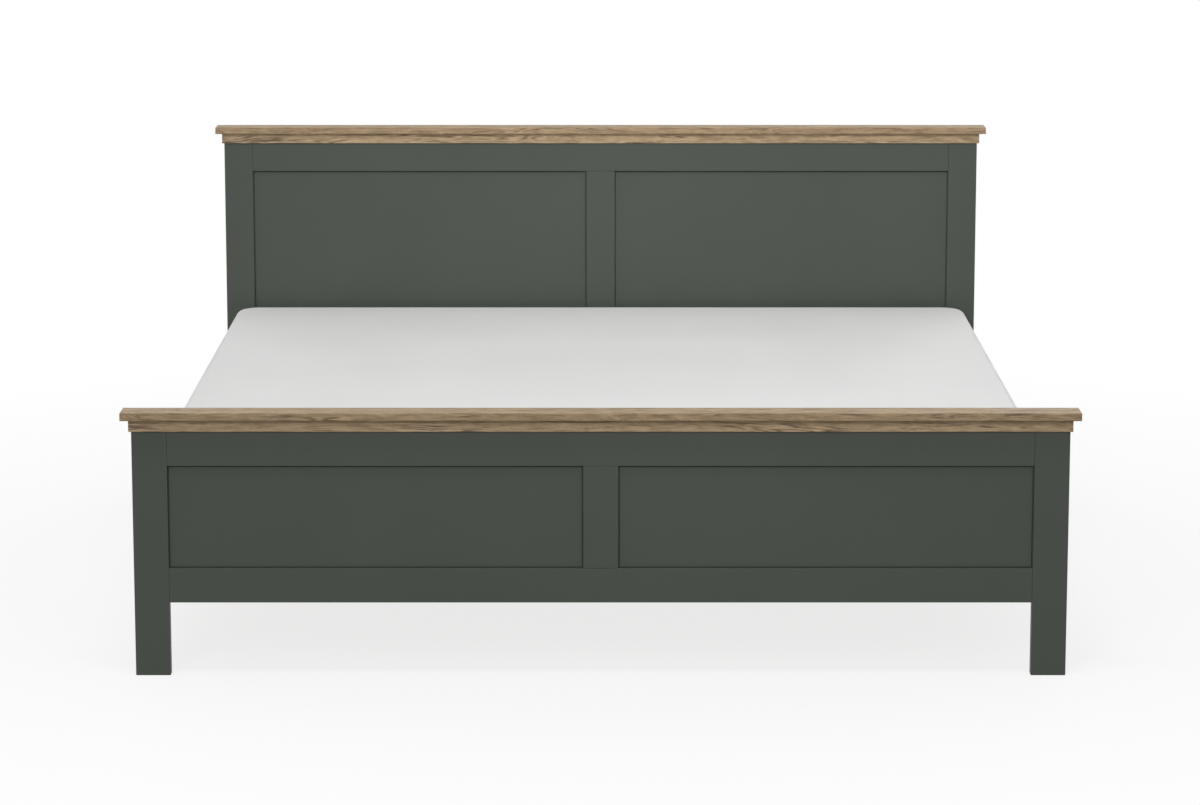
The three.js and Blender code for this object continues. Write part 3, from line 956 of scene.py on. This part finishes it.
@dataclass
class EndBoard:
    """A headboard or footboard: framed panels under a moulding and a cap."""

    prefix: str
    member_easing: float = 0.0011
    panel_easing: float = 0.0006
    cap_easing: float = 0.0009

    def dress(self, finishes: Finishes) -> None:
        """Lacquers the frame and panels, gives the cap its oak decor and gives the moulding the same decor
        drawn lighter, which is painted light.

        Args:
            finishes: the bed's materials.
        """
        for part in ("left_post", "right_post", "top_rail", "lower_rail", "centre_stile"):
            dress(f"{self.prefix}_{part}", finishes.lacquer, self.member_easing)
        for part in ("left_panel", "right_panel"):
            dress(f"{self.prefix}_{part}", finishes.lacquer, self.panel_easing)
        # The moulding's decor is drawn lighter than the cap's: painted light.
        dress(f"{self.prefix}_moulding", finishes.pale_oak, self.cap_easing)
        dress(f"{self.prefix}_cap", finishes.oak, self.cap_easing)


@dataclass
class RailsAndCorners:
    """The side rails, and the angle brackets that bolt them to the headboard and footboard."""

    rail_easing: float = 0.0011
    sheet_easing: float = 0.0004
    bolt_inset: float = 0.022

    def dress(self, finishes: Finishes) -> None:
        """Lacquers the rails and plates the brackets.

        Args:
            finishes: the bed's materials.
        """
        for _, name in SIDES:
            dress(f"{name}_side_rail", finishes.lacquer, self.rail_easing)
            for _, end_name in ENDS:
                dress(f"corner_bracket_{end_name}_{name}", finishes.zinc, self.sheet_easing)

    def bolt_down(self, finishes: Finishes) -> None:
        """Puts two bolts through each leg of each corner bracket.

        Args:
            finishes: the bed's materials.
        """
        for side, name in SIDES:
            for end, end_name in ENDS:
                places = list(self.bolt_places(f"corner_bracket_{end_name}_{name}", side, end))
                bolts = bolt_set(f"corner_bolts_{end_name}_{name}", places, finishes.zinc)
                settle(bolts, Body.FRAME)

    def bolt_places(self, bracket: str, side: int, end: int) -> Iterable[tuple[Vector, Vector]]:
        """Where the bolts of one bracket sit, with the way that each faces.

        Args:
            bracket: the bracket's node.
            side: -1 on the left and 1 on the right.
            end: -1 at the foot and 1 at the head.

        Yields:
            A place and a direction for each bolt.
        """
        low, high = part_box(bracket)
        middle = (low + high) / 2
        rail_face = bracket_face(low.x, high.x, side)
        board_face = bracket_face(low.y, high.y, end)
        for height in (low.z + self.bolt_inset, high.z - self.bolt_inset):
            yield Vector((rail_face, middle.y, height)), Vector((-side, 0.0, 0.0))
            yield Vector((middle.x, board_face, height)), Vector((0.0, -end, 0.0))


@dataclass
class BeddingFloor:
    """The floor of the bedding bays, with its bearer, divider, end brackets and centre legs."""

    board_easing: float = 0.001
    sheet_easing: float = 0.0004
    bolt_spread: float = 0.016
    bolt_drop: float = 0.014

    def dress(self, finishes: Finishes) -> None:
        """Gives the floor its hardboard, the woodwork its grain and the brackets their zinc.

        Args:
            finishes: the bed's materials.
        """
        for _, name in SIDES:
            dress(f"storage_floor_{name}", finishes.hardboard, self.sheet_easing)
        for node in ("floor_bearer", "centre_divider"):
            dress(node, finishes.bearer_wood, self.board_easing)
        for _, end_name in ENDS:
            dress(f"bearer_bracket_{end_name}", finishes.zinc, self.sheet_easing)
        for number in (1, 2):
            leg = copied(
                f"centre_leg_{number}", f"turned_leg_{number}", finishes.leg_wood, self.board_easing,
            )
            settle(leg, Body.FRAME)

    def bolt_down(self, finishes: Finishes) -> None:
        """Puts two bolts through the upright of each bearer bracket and two up through its ledge.

        Args:
            finishes: the bed's materials.
        """
        for end, end_name in ENDS:
            low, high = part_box(f"bearer_bracket_{end_name}")
            face = bracket_face(low.y, high.y, end)
            places = []
            for x in (-self.bolt_spread, self.bolt_spread):
                places.append((Vector((x, face, high.z - self.bolt_drop)), Vector((0.0, -end, 0.0))))
                places.append((Vector((x, (low.y + high.y) / 2, low.z)), Vector((0.0, 0.0, -1.0))))
            bolts = bolt_set(f"bearer_bolts_{end_name}", places, finishes.zinc)
            settle(bolts, Body.FRAME)


@dataclass
class Platform:
    """The lifting platform: its welded tube frame, slats, plugs and mattress stop."""

    slat_count: int = 11
    slat_easing: float = 0.0026
    tube_easing: float = 0.0006
    plug_flange: float = 0.002
    plug_easing: float = 0.0008
    bead: float = 0.0019
    bead_pitch: float = 0.0021

    def dress(self, finishes: Finishes) -> None:
        """Coats the tubes and gives the slats their grain.

        Args:
            finishes: the bed's materials.
        """
        for part in ("foot", "head", "centre"):
            dress(f"platform_tube_{part}", finishes.powder_coat, self.tube_easing)
        for _, name in SIDES:
            tube = copied(
                f"platform_tube_{name}", f"side_tube_{name}", finishes.powder_coat, self.tube_easing,
            )
            settle(tube, Body.PLATFORM)
        for number in range(1, self.slat_count + 1):
            dress(f"slat_{number:02d}", finishes.slat_wood, self.slat_easing)
        stop = copied("mattress_stop", "mattress_stop_rod", finishes.powder_coat, 0.0)
        settle(stop, Body.PLATFORM)

    def plug_tubes(self, finishes: Finishes) -> None:
        """Closes both ends of each side tube with a plastic plug.

        Args:
            finishes: the bed's materials.
        """
        for _, name in SIDES:
            foot_low, foot_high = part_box("platform_tube_foot")
            low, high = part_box(f"platform_tube_{name}")
            arm_low, arm_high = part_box(f"lift_arm_{name}")
            tube = foot_high.z - foot_low.z
            # The lift arm lies against the tube's outer side.
            x = arm_low.x - tube / 2 if name == "right" else arm_high.x + tube / 2
            plugs = bmesh.new()
            for y in (low.y - self.plug_flange / 2, high.y + self.plug_flange / 2):
                plug = block((tube, self.plug_flange, tube))
                round_edges(plug, plug.edges, self.plug_easing)
                add_shape(plugs, plug, Matrix.Translation((x, y, (foot_low.z + foot_high.z) / 2)))
            piece = finished(f"tube_plugs_{name}", plugs, finishes.plastic)
            settle(piece, Body.PLATFORM)

    def weld(self, finishes: Finishes) -> None:
        """Lays a rippled bead round each joint of the tube frame.

        Args:
            finishes: the bed's materials.
        """
        beads = bmesh.new()
        for _, end_name in ENDS:
            low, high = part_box(f"platform_tube_{end_name}")
            for x in (low.x, high.x):
                middle = Vector((x, (low.y + high.y) / 2, (low.z + high.z) / 2))
                self.ring(beads, middle, 1, high.z - low.z)
        low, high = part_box("platform_tube_centre")
        for y in (low.y, high.y):
            middle = Vector((0.0, y, (low.z + high.z) / 2))
            self.ring(beads, middle, 0, high.z - low.z)
        piece = finished("frame_welds", beads, finishes.powder_coat)
        settle(piece, Body.PLATFORM)

    def ring(self, beads: Shape, middle: Vector, across: int, tube: float) -> None:
        """Adds the bead of one joint, drop by drop round the square of the tube.

        Args:
            beads: the shape that takes the drops.
            middle: the middle of the joint.
            across: the horizontal axis of the joint's square, 0 for X or 1 for Y.
            tube: the tube's outer width.
        """
        drops = round(tube / self.bead_pitch)
        half = tube / 2
        for step in range(drops + 1):
            along = -half + tube * step / drops
            for level, sideways in ((half, along), (-half, along), (along, half), (along, -half)):
                place = middle.copy()
                place.z += level
                place[across] += sideways
                drop = bmesh.new()
                bmesh.ops.create_icosphere(drop, subdivisions=1, radius=self.bead)
                add_shape(beads, drop, Matrix.Translation(place))


@dataclass
class Mattress:
    """The foam mattress in its knitted cover, swollen a little by pressure from inside."""

    corner: float = 0.058
    corner_steps: int = 6
    edge: float = 0.020
    edge_steps: int = 4
    swell: float = 0.004
    cell: float = 0.075
    pressure: float = 0.12
    frames: int = 20
    quality: int = 6
    mass: float = 0.3
    stiffness: float = 18.0
    bending: float = 4.0
    seam_half_width: float = 0.006
    # The heights of the cuts that keep the seam narrow, in half widths from its middle.
    seam_cuts: tuple[int, ...] = (-3, -1, 0, 1, 3)
    seam_depth: float = 0.003
    fill: float = 0.95
    smoothness: int = 2

    def build(self, finishes: Finishes) -> Piece:
        """Makes the mattress and lets it stand for its plain solid.

        Args:
            finishes: the bed's materials.

        Returns:
            The mattress.
        """
        low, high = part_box("mattress")
        shape = self.slab(low, high)
        piece = finished("mattress_cover", shape, finishes.ticking)
        self.inflate(piece, low.z)
        self.sew(piece, (low.z + high.z) / 2)
        for face in piece.data.polygons:
            face.use_smooth = True
        smooth = piece.modifiers.new("Soft surface", "SUBSURF")
        smooth.levels = self.smoothness
        smooth.render_levels = self.smoothness
        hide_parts("mattress")
        return settle(piece, Body.PLATFORM)

    def slab(self, low: Vector, high: Vector) -> Shape:
        """The slab before it swells: a block with round corners and edges, cut into a grid.

        Args:
            low: the lowest corner of the finished mattress.
            high: its highest corner.

        Returns:
            The shape, lower than the box by the swelling.
        """
        size = high - low
        shape = block((size.x, size.y, size.z - self.swell))
        middle = ((low.x + high.x) / 2, (low.y + high.y) / 2, (low.z + high.z - self.swell) / 2)
        bmesh.ops.translate(shape, vec=middle, verts=shape.verts)
        upright = [
            edge for edge in shape.edges if abs(edge.verts[0].co.z - edge.verts[1].co.z) > size.z / 2
        ]
        round_edges(shape, upright, self.corner, self.corner_steps)
        rims = [
            edge for edge in shape.edges
            if len({round(abs(face.normal.z)) for face in edge.link_faces}) == 2
        ]
        round_edges(shape, rims, self.edge, self.edge_steps)
        seam = (low.z + high.z) / 2
        for step in self.seam_cuts:
            self.cut(shape, (0.0, 0.0, seam + step * self.seam_half_width), (0.0, 0.0, 1.0))
        for axis, extent in ((0, size.x), (1, size.y)):
            reach = extent / 2 - self.corner
            cells = round(2 * reach / self.cell)
            normal = tuple(1.0 if i == axis else 0.0 for i in range(3))
            for step in range(cells + 1):
                place = list(middle)
                place[axis] += -reach + 2 * reach * step / cells
                self.cut(shape, tuple(place), normal)
        bmesh.ops.remove_doubles(shape, verts=shape.verts, dist=SAME_PLACE)
        return shape

    @staticmethod
    def cut(shape: Shape, place: Triple, normal: Triple) -> None:
        """Cuts new edges into a shape where a plane crosses it."""
        geometry = [*shape.verts, *shape.edges, *shape.faces]
        bmesh.ops.bisect_plane(shape, geom=geometry, plane_co=place, plane_no=normal, dist=TOUCHING)

    def inflate(self, piece: Piece, floor: float) -> None:
        """Swells the cover by cloth simulation, its underside held to the slats.

        Args:
            piece: the mattress.
            floor: the height of its underside.
        """
        held = piece.vertex_groups.new(name="underside")
        held.add([v.index for v in piece.data.vertices if v.co.z < floor + self.edge / 4], 1.0, "REPLACE")
        cloth = piece.modifiers.new("Swelling", "CLOTH")
        cloth.settings.quality = self.quality
        cloth.settings.mass = self.mass
        cloth.settings.tension_stiffness = self.stiffness
        cloth.settings.compression_stiffness = self.stiffness
        cloth.settings.bending_stiffness = self.bending
        cloth.settings.vertex_group_mass = held.name
        cloth.settings.use_pressure = True
        cloth.settings.uniform_pressure_force = self.pressure
        cloth.settings.effector_weights.gravity = 0.0
        scene = bpy.context.scene
        for number in range(1, self.frames + 1):
            scene.frame_set(number)
        swollen = piece.evaluated_get(bpy.context.evaluated_depsgraph_get()).data
        moves = [after.co - vert.co for after, vert in zip(swollen.vertices, piece.data.vertices)]
        piece.modifiers.remove(cloth)
        most = max(move.length for move in moves)
        LOG.info("the cover swelled by %.1f mm, eased to %.1f mm", most * 1000, self.swell * 1000)
        for vert, move in zip(piece.data.vertices, moves):
            vert.co += move * (self.swell / most)
        scene.frame_set(1)

    def sew(self, piece: Piece, height: float) -> None:
        """Draws the side in along the seam, half way up, where the two halves of the cover meet.

        Args:
            piece: the mattress.
            height: the height of the seam.
        """
        middle = (Vector(piece.bound_box[0]) + Vector(piece.bound_box[6])) / 2
        for vert in piece.data.vertices:
            if abs(vert.co.z - height) < self.seam_half_width / 2:
                outwards = Vector((vert.co.x - middle.x, vert.co.y - middle.y, 0.0))
                vert.co -= outwards.normalized() * self.seam_depth


@dataclass
class PullStrap:
    """The webbing strap at the foot end, folded and sewn at its top."""

    easing: float = 0.0004
    hem_length: float = 0.070
    hem_thickness: float = 0.0014
    stitch_length: float = 0.0028
    stitch_radius: float = 0.00035
    stitch_pitch: float = 0.0038
    stitch_sides: int = 6
    box_half_width: float = 0.014
    box_height: float = 0.030

    def build(self, finishes: Finishes) -> None:
        """Makes the strap, its folded hem and the stitches through both.

        Args:
            finishes: the bed's materials.
        """
        strap = copied("pull_strap", "webbing_strap", finishes.webbing, self.easing)
        settle(strap, Body.PLATFORM)
        low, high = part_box("pull_strap")
        hem = block((high.x - low.x, self.hem_thickness, self.hem_length))
        round_edges(hem, hem.edges, self.easing)
        face = low.y - self.hem_thickness
        middle = Vector((0.0, low.y - self.hem_thickness / 2, high.z - self.hem_length / 2))
        bmesh.ops.translate(hem, vec=middle, verts=hem.verts)
        settle(finished("strap_hem", hem, finishes.webbing), Body.PLATFORM)
        stitches = bmesh.new()
        for start, end in self.seams(middle.z):
            self.run(stitches, start, end, face)
        settle(finished("strap_stitches", stitches, finishes.plastic), Body.PLATFORM)

    def seams(self, height: float) -> Iterable[tuple[Pair, Pair]]:
        """The lines of a sewn box with a cross in it, as pairs of points in X and Z.

        Args:
            height: the height of the box's middle.

        Yields:
            Both ends of each line.
        """
        x = self.box_half_width
        bottom = height - self.box_height / 2
        top = height + self.box_height / 2
        corners = [(-x, bottom), (x, bottom), (x, top), (-x, top)]
        yield from zip(corners, corners[1:] + corners[:1])
        yield corners[0], corners[2]
        yield corners[1], corners[3]

    def run(
        self, stitches: Shape, start: Pair, end: Pair, face: float
    ) -> None:
        """Adds a row of stitches between two points of the strap's face.

        Args:
            stitches: the shape that takes them.
            start: the first point in X and Z.
            end: the last point in X and Z.
            face: the Y of the face that they lie on.
        """
        first = Vector((start[0], face, start[1]))
        last = Vector((end[0], face, end[1]))
        way = last - first
        count = round(way.length / self.stitch_pitch)
        for step in range(count):
            stitch = bmesh.new()
            bmesh.ops.create_cone(
                stitch,
                cap_ends=True,
                segments=self.stitch_sides,
                radius1=self.stitch_radius,
                radius2=self.stitch_radius,
                depth=self.stitch_length,
            )
            place = first + way * ((step + 0.5) / count)
            add_shape(stitches, stitch, towards(place, way.normalized()))


@dataclass
class LiftMechanism:
    """One side's lift: the base plate and its bolts, the arm and the gas strut."""

    side: int
    name: str
    eye_radius: float = 0.012
    eye_width: float = 0.012
    base_hole: float = 0.00525
    rod_hole: float = 0.008
    neck: float = 0.006
    tube_radius: float = 0.011
    tube_start: float = 0.022
    tube_end: float = 0.282
    tube_easing: float = 0.0015
    shoulder: float = 0.004
    mouth: float = 0.002
    mouth_middle: Pair = (0.0005, 0.0006)
    bore_depth: float = 0.010
    rod_radius: float = 0.004
    rod_start: float = 0.172
    rod_play: float = 0.0005
    weld_gap: float = 0.001
    seal_wall: float = 0.0035
    seal_lip: float = 0.002
    seal_height: float = 0.005
    eye_easing: float = 0.001
    steps: int = 40
    plate_easing: float = 0.0004
    plate_bolt_inset: float = 0.010
    stud: Vector = field(init=False)
    way: Vector = field(init=False)
    reach: float = field(init=False)

    def __post_init__(self) -> None:
        """Reads the strut's stud and direction from the joints."""
        joints = {joint["name"]: joint for joint in frame["joints"]}
        self.stud = Vector(joints[f"{self.name}_strut_swing"]["pos_m"])
        self.way = Vector(joints[f"{self.name}_strut_extension"]["axis"]).normalized()
        low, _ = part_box(f"strut_rod_{self.name}")
        self.reach = (self.stud.y - low.y - self.eye_radius) / -self.way.y

    def build(self, finishes: Finishes) -> None:
        """Makes the pieces of the mechanism on this side.

        Args:
            finishes: the bed's materials.
        """
        plate = copied(
            f"lift_base_plate_{self.name}", f"pivot_plate_{self.name}", finishes.powder_coat,
            self.plate_easing,
        )
        settle(plate, Body.FRAME)
        arm = copied(
            f"lift_arm_{self.name}", f"pivot_arm_{self.name}", finishes.powder_coat, self.plate_easing,
        )
        settle(arm, Body.PLATFORM)
        self.bolt_plate(finishes)
        self.build_cylinder(finishes)
        self.build_rod(finishes)

    def bolt_plate(self, finishes: Finishes) -> None:
        """Puts two bolts through the foot of the base plate.

        Args:
            finishes: the bed's materials.
        """
        corner_low, corner_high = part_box(f"corner_bracket_head_{self.name}")
        low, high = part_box(f"lift_base_plate_{self.name}")
        face = bracket_face(corner_low.x, corner_high.x, self.side)
        places = [
            (Vector((face, y, low.z + self.plate_bolt_inset)), Vector((-self.side, 0.0, 0.0)))
            for y in (low.y + self.plate_bolt_inset, high.y - self.plate_bolt_inset)
        ]
        settle(bolt_set(f"plate_bolts_{self.name}", places, finishes.zinc), Body.FRAME)

    def eye(self, hole: float, along: float) -> Shape:
        """A rounded ring round a stud, at a distance along the strut.

        Args:
            hole: the radius of its hole.
            along: how far along the strut its centre lies.

        Returns:
            The ring, its axis along X.
        """
        half = self.eye_width / 2
        rim = self.eye_radius
        ease = self.eye_easing
        profile = [
            (hole, -half), (rim - ease, -half), (rim, -half + ease), (rim, half - ease), (rim - ease, half),
            (hole, half), (hole, -half),
        ]
        ring = turned(profile, self.steps)
        ring.transform(Matrix.Translation((0.0, 0.0, along)) @ Matrix.Rotation(math.pi / 2, 4, "Y"))
        return ring

    def place(self, shape: Shape, part: Shape) -> None:
        """Adds a part, drawn along Z from the stud, to a shape in the strut's real place."""
        add_shape(shape, part, towards(self.stud, self.way))

    def build_cylinder(self, finishes: Finishes) -> None:
        """Makes the strut's cylinder, with its lower eye and the seal at its mouth.

        Args:
            finishes: the bed's materials.
        """
        body = Body(f"{self.name}_cylinder")
        wall = self.tube_radius
        end = self.tube_end
        ease = self.tube_easing
        bore = self.rod_radius + self.rod_play
        across, down = self.mouth_middle
        profile = [
            (self.neck, self.eye_radius - ease), (self.neck, self.tube_start - self.shoulder),
            (wall - ease, self.tube_start), (wall, self.tube_start + ease), (wall, end - self.mouth),
            (wall - across, end - down), (wall - self.mouth, end), (bore, end),
            (bore, end - self.bore_depth), (0.0, end - self.bore_depth),
        ]
        cylinder = bmesh.new()
        self.place(cylinder, self.eye(self.base_hole, 0.0))
        self.place(cylinder, turned(profile, self.steps))
        piece = finished(f"gas_cylinder_{self.name}", cylinder, finishes.powder_coat)
        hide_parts(f"strut_cylinder_{self.name}")
        settle(piece, body)
        outer = self.rod_radius + self.seal_wall
        profile = [
            (bore, end - ease), (outer, end - ease), (outer, end + self.seal_lip),
            (bore + ease, end + self.seal_height), (bore, end + self.seal_height), (bore, end - ease),
        ]
        seal = bmesh.new()
        self.place(seal, turned(profile, self.steps))
        settle(finished(f"rod_seal_{self.name}", seal, finishes.plastic), body)

    def build_rod(self, finishes: Finishes) -> None:
        """Makes the chromed rod with its upper eye.

        Args:
            finishes: the bed's materials.
        """
        end = self.reach - self.rod_hole - self.weld_gap
        profile = [
            (0.0, self.rod_start), (self.rod_radius, self.rod_start), (self.rod_radius, end), (0.0, end),
        ]
        rod = bmesh.new()
        self.place(rod, self.eye(self.rod_hole, self.reach))
        self.place(rod, turned(profile, self.steps))
        piece = finished(f"gas_rod_{self.name}", rod, finishes.chrome)
        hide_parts(f"strut_rod_{self.name}")
        settle(piece, Body(f"{self.name}_rod"))


@dataclass(frozen=True)
class SoftBox:
    """A rectangular studio lamp, its spread in degrees."""

    name: str
    place: Triple
    target: Triple
    width: float
    height: float
    watts: float
    spread: float = 180.0

    def light(self) -> None:
        """Adds the lamp to the scene, turned towards its target."""
        lamp = bpy.data.lights.new(self.name, "AREA")
        lamp.shape = "RECTANGLE"
        lamp.size = self.width
        lamp.size_y = self.height
        lamp.energy = self.watts
        lamp.spread = math.radians(self.spread)
        holder = bpy.data.objects.new(self.name, lamp)
        way = Vector(self.target) - Vector(self.place)
        holder.location = self.place
        holder.rotation_euler = way.to_track_quat("-Z", "Y").to_euler()
        bpy.context.scene.collection.objects.link(holder)
        LOG.info("lit %s", self.name)


@dataclass
class Studio:
    """A pale floor, lamps above, in front of and behind the bed, and the camera beyond its foot."""

    dome: float = 0.468
    # The floor throws light back as a mid grey, and the camera sees it white.
    floor_shade: float = 0.35
    floor_seen: float = 1.0
    # How white the floor shines by itself near the bed; beyond the reach it is plain white.
    floor_glow: float = 0.8
    glow_reach: Pair = (1.3, 2.8)
    floor_half: float = 40.0
    floor_drop: float = 0.0003
    camera_place: Triple = (-0.0015, -8.8430, 1.9916)
    camera_tilt: float = math.radians(10.416)
    lens: float = 119.69
    sensor_width: float = 36.0
    farthest: float = 200.0
    lamps: tuple[SoftBox, ...] = (
        SoftBox(
            "overhead_box", place=(-0.3, -2.4, 5.6), target=(0.0, -1.0, 0.4),
            width=2.6, height=1.0, watts=71.0,
        ),
        SoftBox(
            "headboard_box", place=(0.9, -4.2, 3.6), target=(0.2, 1.0, 0.64),
            width=1.4, height=0.5, watts=4.5, spread=40.0,
        ),
        SoftBox(
            "key_box", place=(-2.3, -7.4, 3.8), target=(0.0, -0.4, 0.4),
            width=2.6, height=2.6, watts=110.0,
        ),
        SoftBox(
            "right_fill_box", place=(3.2, 7.4, 2.8), target=(0.0, 0.4, 0.4),
            width=2.4, height=1.8, watts=101.0,
        ),
        SoftBox(
            "left_fill_box", place=(-3.2, 7.4, 2.8), target=(0.0, 0.4, 0.4),
            width=2.4, height=1.8, watts=60.0,
        ),
    )

    def build(self) -> None:
        """Sets up the camera, the light and the floor."""
        self.set_camera()
        for lamp in self.lamps:
            lamp.light()
        self.set_world()
        self.lay_floor()
        bpy.context.scene.view_settings.view_transform = "Standard"

    def set_camera(self) -> None:
        """Places the camera at the photograph's viewing angle."""
        camera = bpy.data.cameras.new("camera")
        camera.lens = self.lens
        camera.sensor_width = self.sensor_width
        camera.clip_end = self.farthest
        holder = bpy.data.objects.new("camera", camera)
        holder.location = self.camera_place
        holder.rotation_euler = (math.pi / 2 - self.camera_tilt, 0.0, 0.0)
        bpy.context.scene.collection.objects.link(holder)
        bpy.context.scene.camera = holder

    @staticmethod
    def seen_rays(tree: bpy.types.NodeTree) -> Socket:
        """A factor that is 1 for camera, glossy and transmission rays.

        Args:
            tree: the nodes that it joins.

        Returns:
            The socket with the factor.
        """
        path = tree.nodes.new("ShaderNodeLightPath")
        total = path.outputs["Is Camera Ray"]
        for name in ("Is Glossy Ray", "Is Transmission Ray"):
            larger = tree.nodes.new("ShaderNodeMath")
            larger.operation = "MAXIMUM"
            tree.links.new(total, larger.inputs[0])
            tree.links.new(path.outputs[name], larger.inputs[1])
            total = larger.outputs[0]
        return total

    def set_world(self) -> None:
        """Shows white behind the bed, and lights it with a dimmer white dome."""
        world = bpy.data.worlds.new("studio")
        world.use_nodes = True
        tree = world.node_tree
        dome = tree.nodes["Background"]
        dome.inputs["Color"].default_value = (1.0, 1.0, 1.0, 1.0)
        dome.inputs["Strength"].default_value = self.dome
        backdrop = tree.nodes.new("ShaderNodeBackground")
        backdrop.inputs["Color"].default_value = (1.0, 1.0, 1.0, 1.0)
        choice = tree.nodes.new("ShaderNodeMixShader")
        tree.links.new(self.seen_rays(tree), choice.inputs["Fac"])
        tree.links.new(dome.outputs[0], choice.inputs[1])
        tree.links.new(backdrop.outputs[0], choice.inputs[2])
        tree.links.new(choice.outputs[0], tree.nodes["World Output"].inputs["Surface"])
        bpy.context.scene.world = world

    def lay_floor(self) -> None:
        """Lays a pale floor that looks white and keeps the bed's shadow."""
        shape = bmesh.new()
        bmesh.ops.create_grid(shape, x_segments=1, y_segments=1, size=self.floor_half)
        bmesh.ops.translate(shape, vec=(0.0, 0.0, -self.floor_drop), verts=shape.verts)
        finished("floor", shape, self.floor_material())

    def floor_material(self) -> bpy.types.Material:
        """A matt floor that turns to plain white for the rays that show it, the more so further out.

        Returns:
            The new material.
        """
        nodes = NodeBuilder("Studio floor")
        tree = nodes.tree
        nodes.set("Roughness", 1.0)
        nodes.set("Specular IOR Level", 0.0)
        seen = self.seen_rays(tree)
        shade = nodes.span(seen, 0.0, 1.0, self.floor_shade, self.floor_seen)
        nodes.feed("Base Color", shade)
        distance = tree.nodes.new("ShaderNodeVectorMath")
        distance.operation = "LENGTH"
        tree.links.new(nodes.even(1.0), distance.inputs[0])
        glow = nodes.span(distance.outputs["Value"], *self.glow_reach, self.floor_glow, 1.0)
        light = tree.nodes.new("ShaderNodeEmission")
        choice = tree.nodes.new("ShaderNodeMixShader")
        tree.links.new(nodes.times(seen, glow), choice.inputs["Fac"])
        tree.links.new(nodes.shader.outputs[0], choice.inputs[1])
        tree.links.new(light.outputs[0], choice.inputs[2])
        tree.links.new(choice.outputs[0], tree.nodes["Material Output"].inputs["Surface"])
        return nodes.material


def main() -> None:
    """Sets up the studio, then dresses and builds the bed from the floor up."""
    logging.basicConfig(level=logging.INFO, format="%(name)s: %(message)s")
    Studio().build()
    finishes = Finishes.mix()
    for prefix in ("footboard", "headboard"):
        EndBoard(prefix).dress(finishes)
    rails = RailsAndCorners()
    rails.dress(finishes)
    rails.bolt_down(finishes)
    floor = BeddingFloor()
    floor.dress(finishes)
    floor.bolt_down(finishes)
    platform = Platform()
    platform.dress(finishes)
    platform.plug_tubes(finishes)
    platform.weld(finishes)
    Mattress().build(finishes)
    PullStrap().build(finishes)
    for side, name in SIDES:
        LiftMechanism(side, name).build(finishes)


if __name__ == "__main__":
    main()
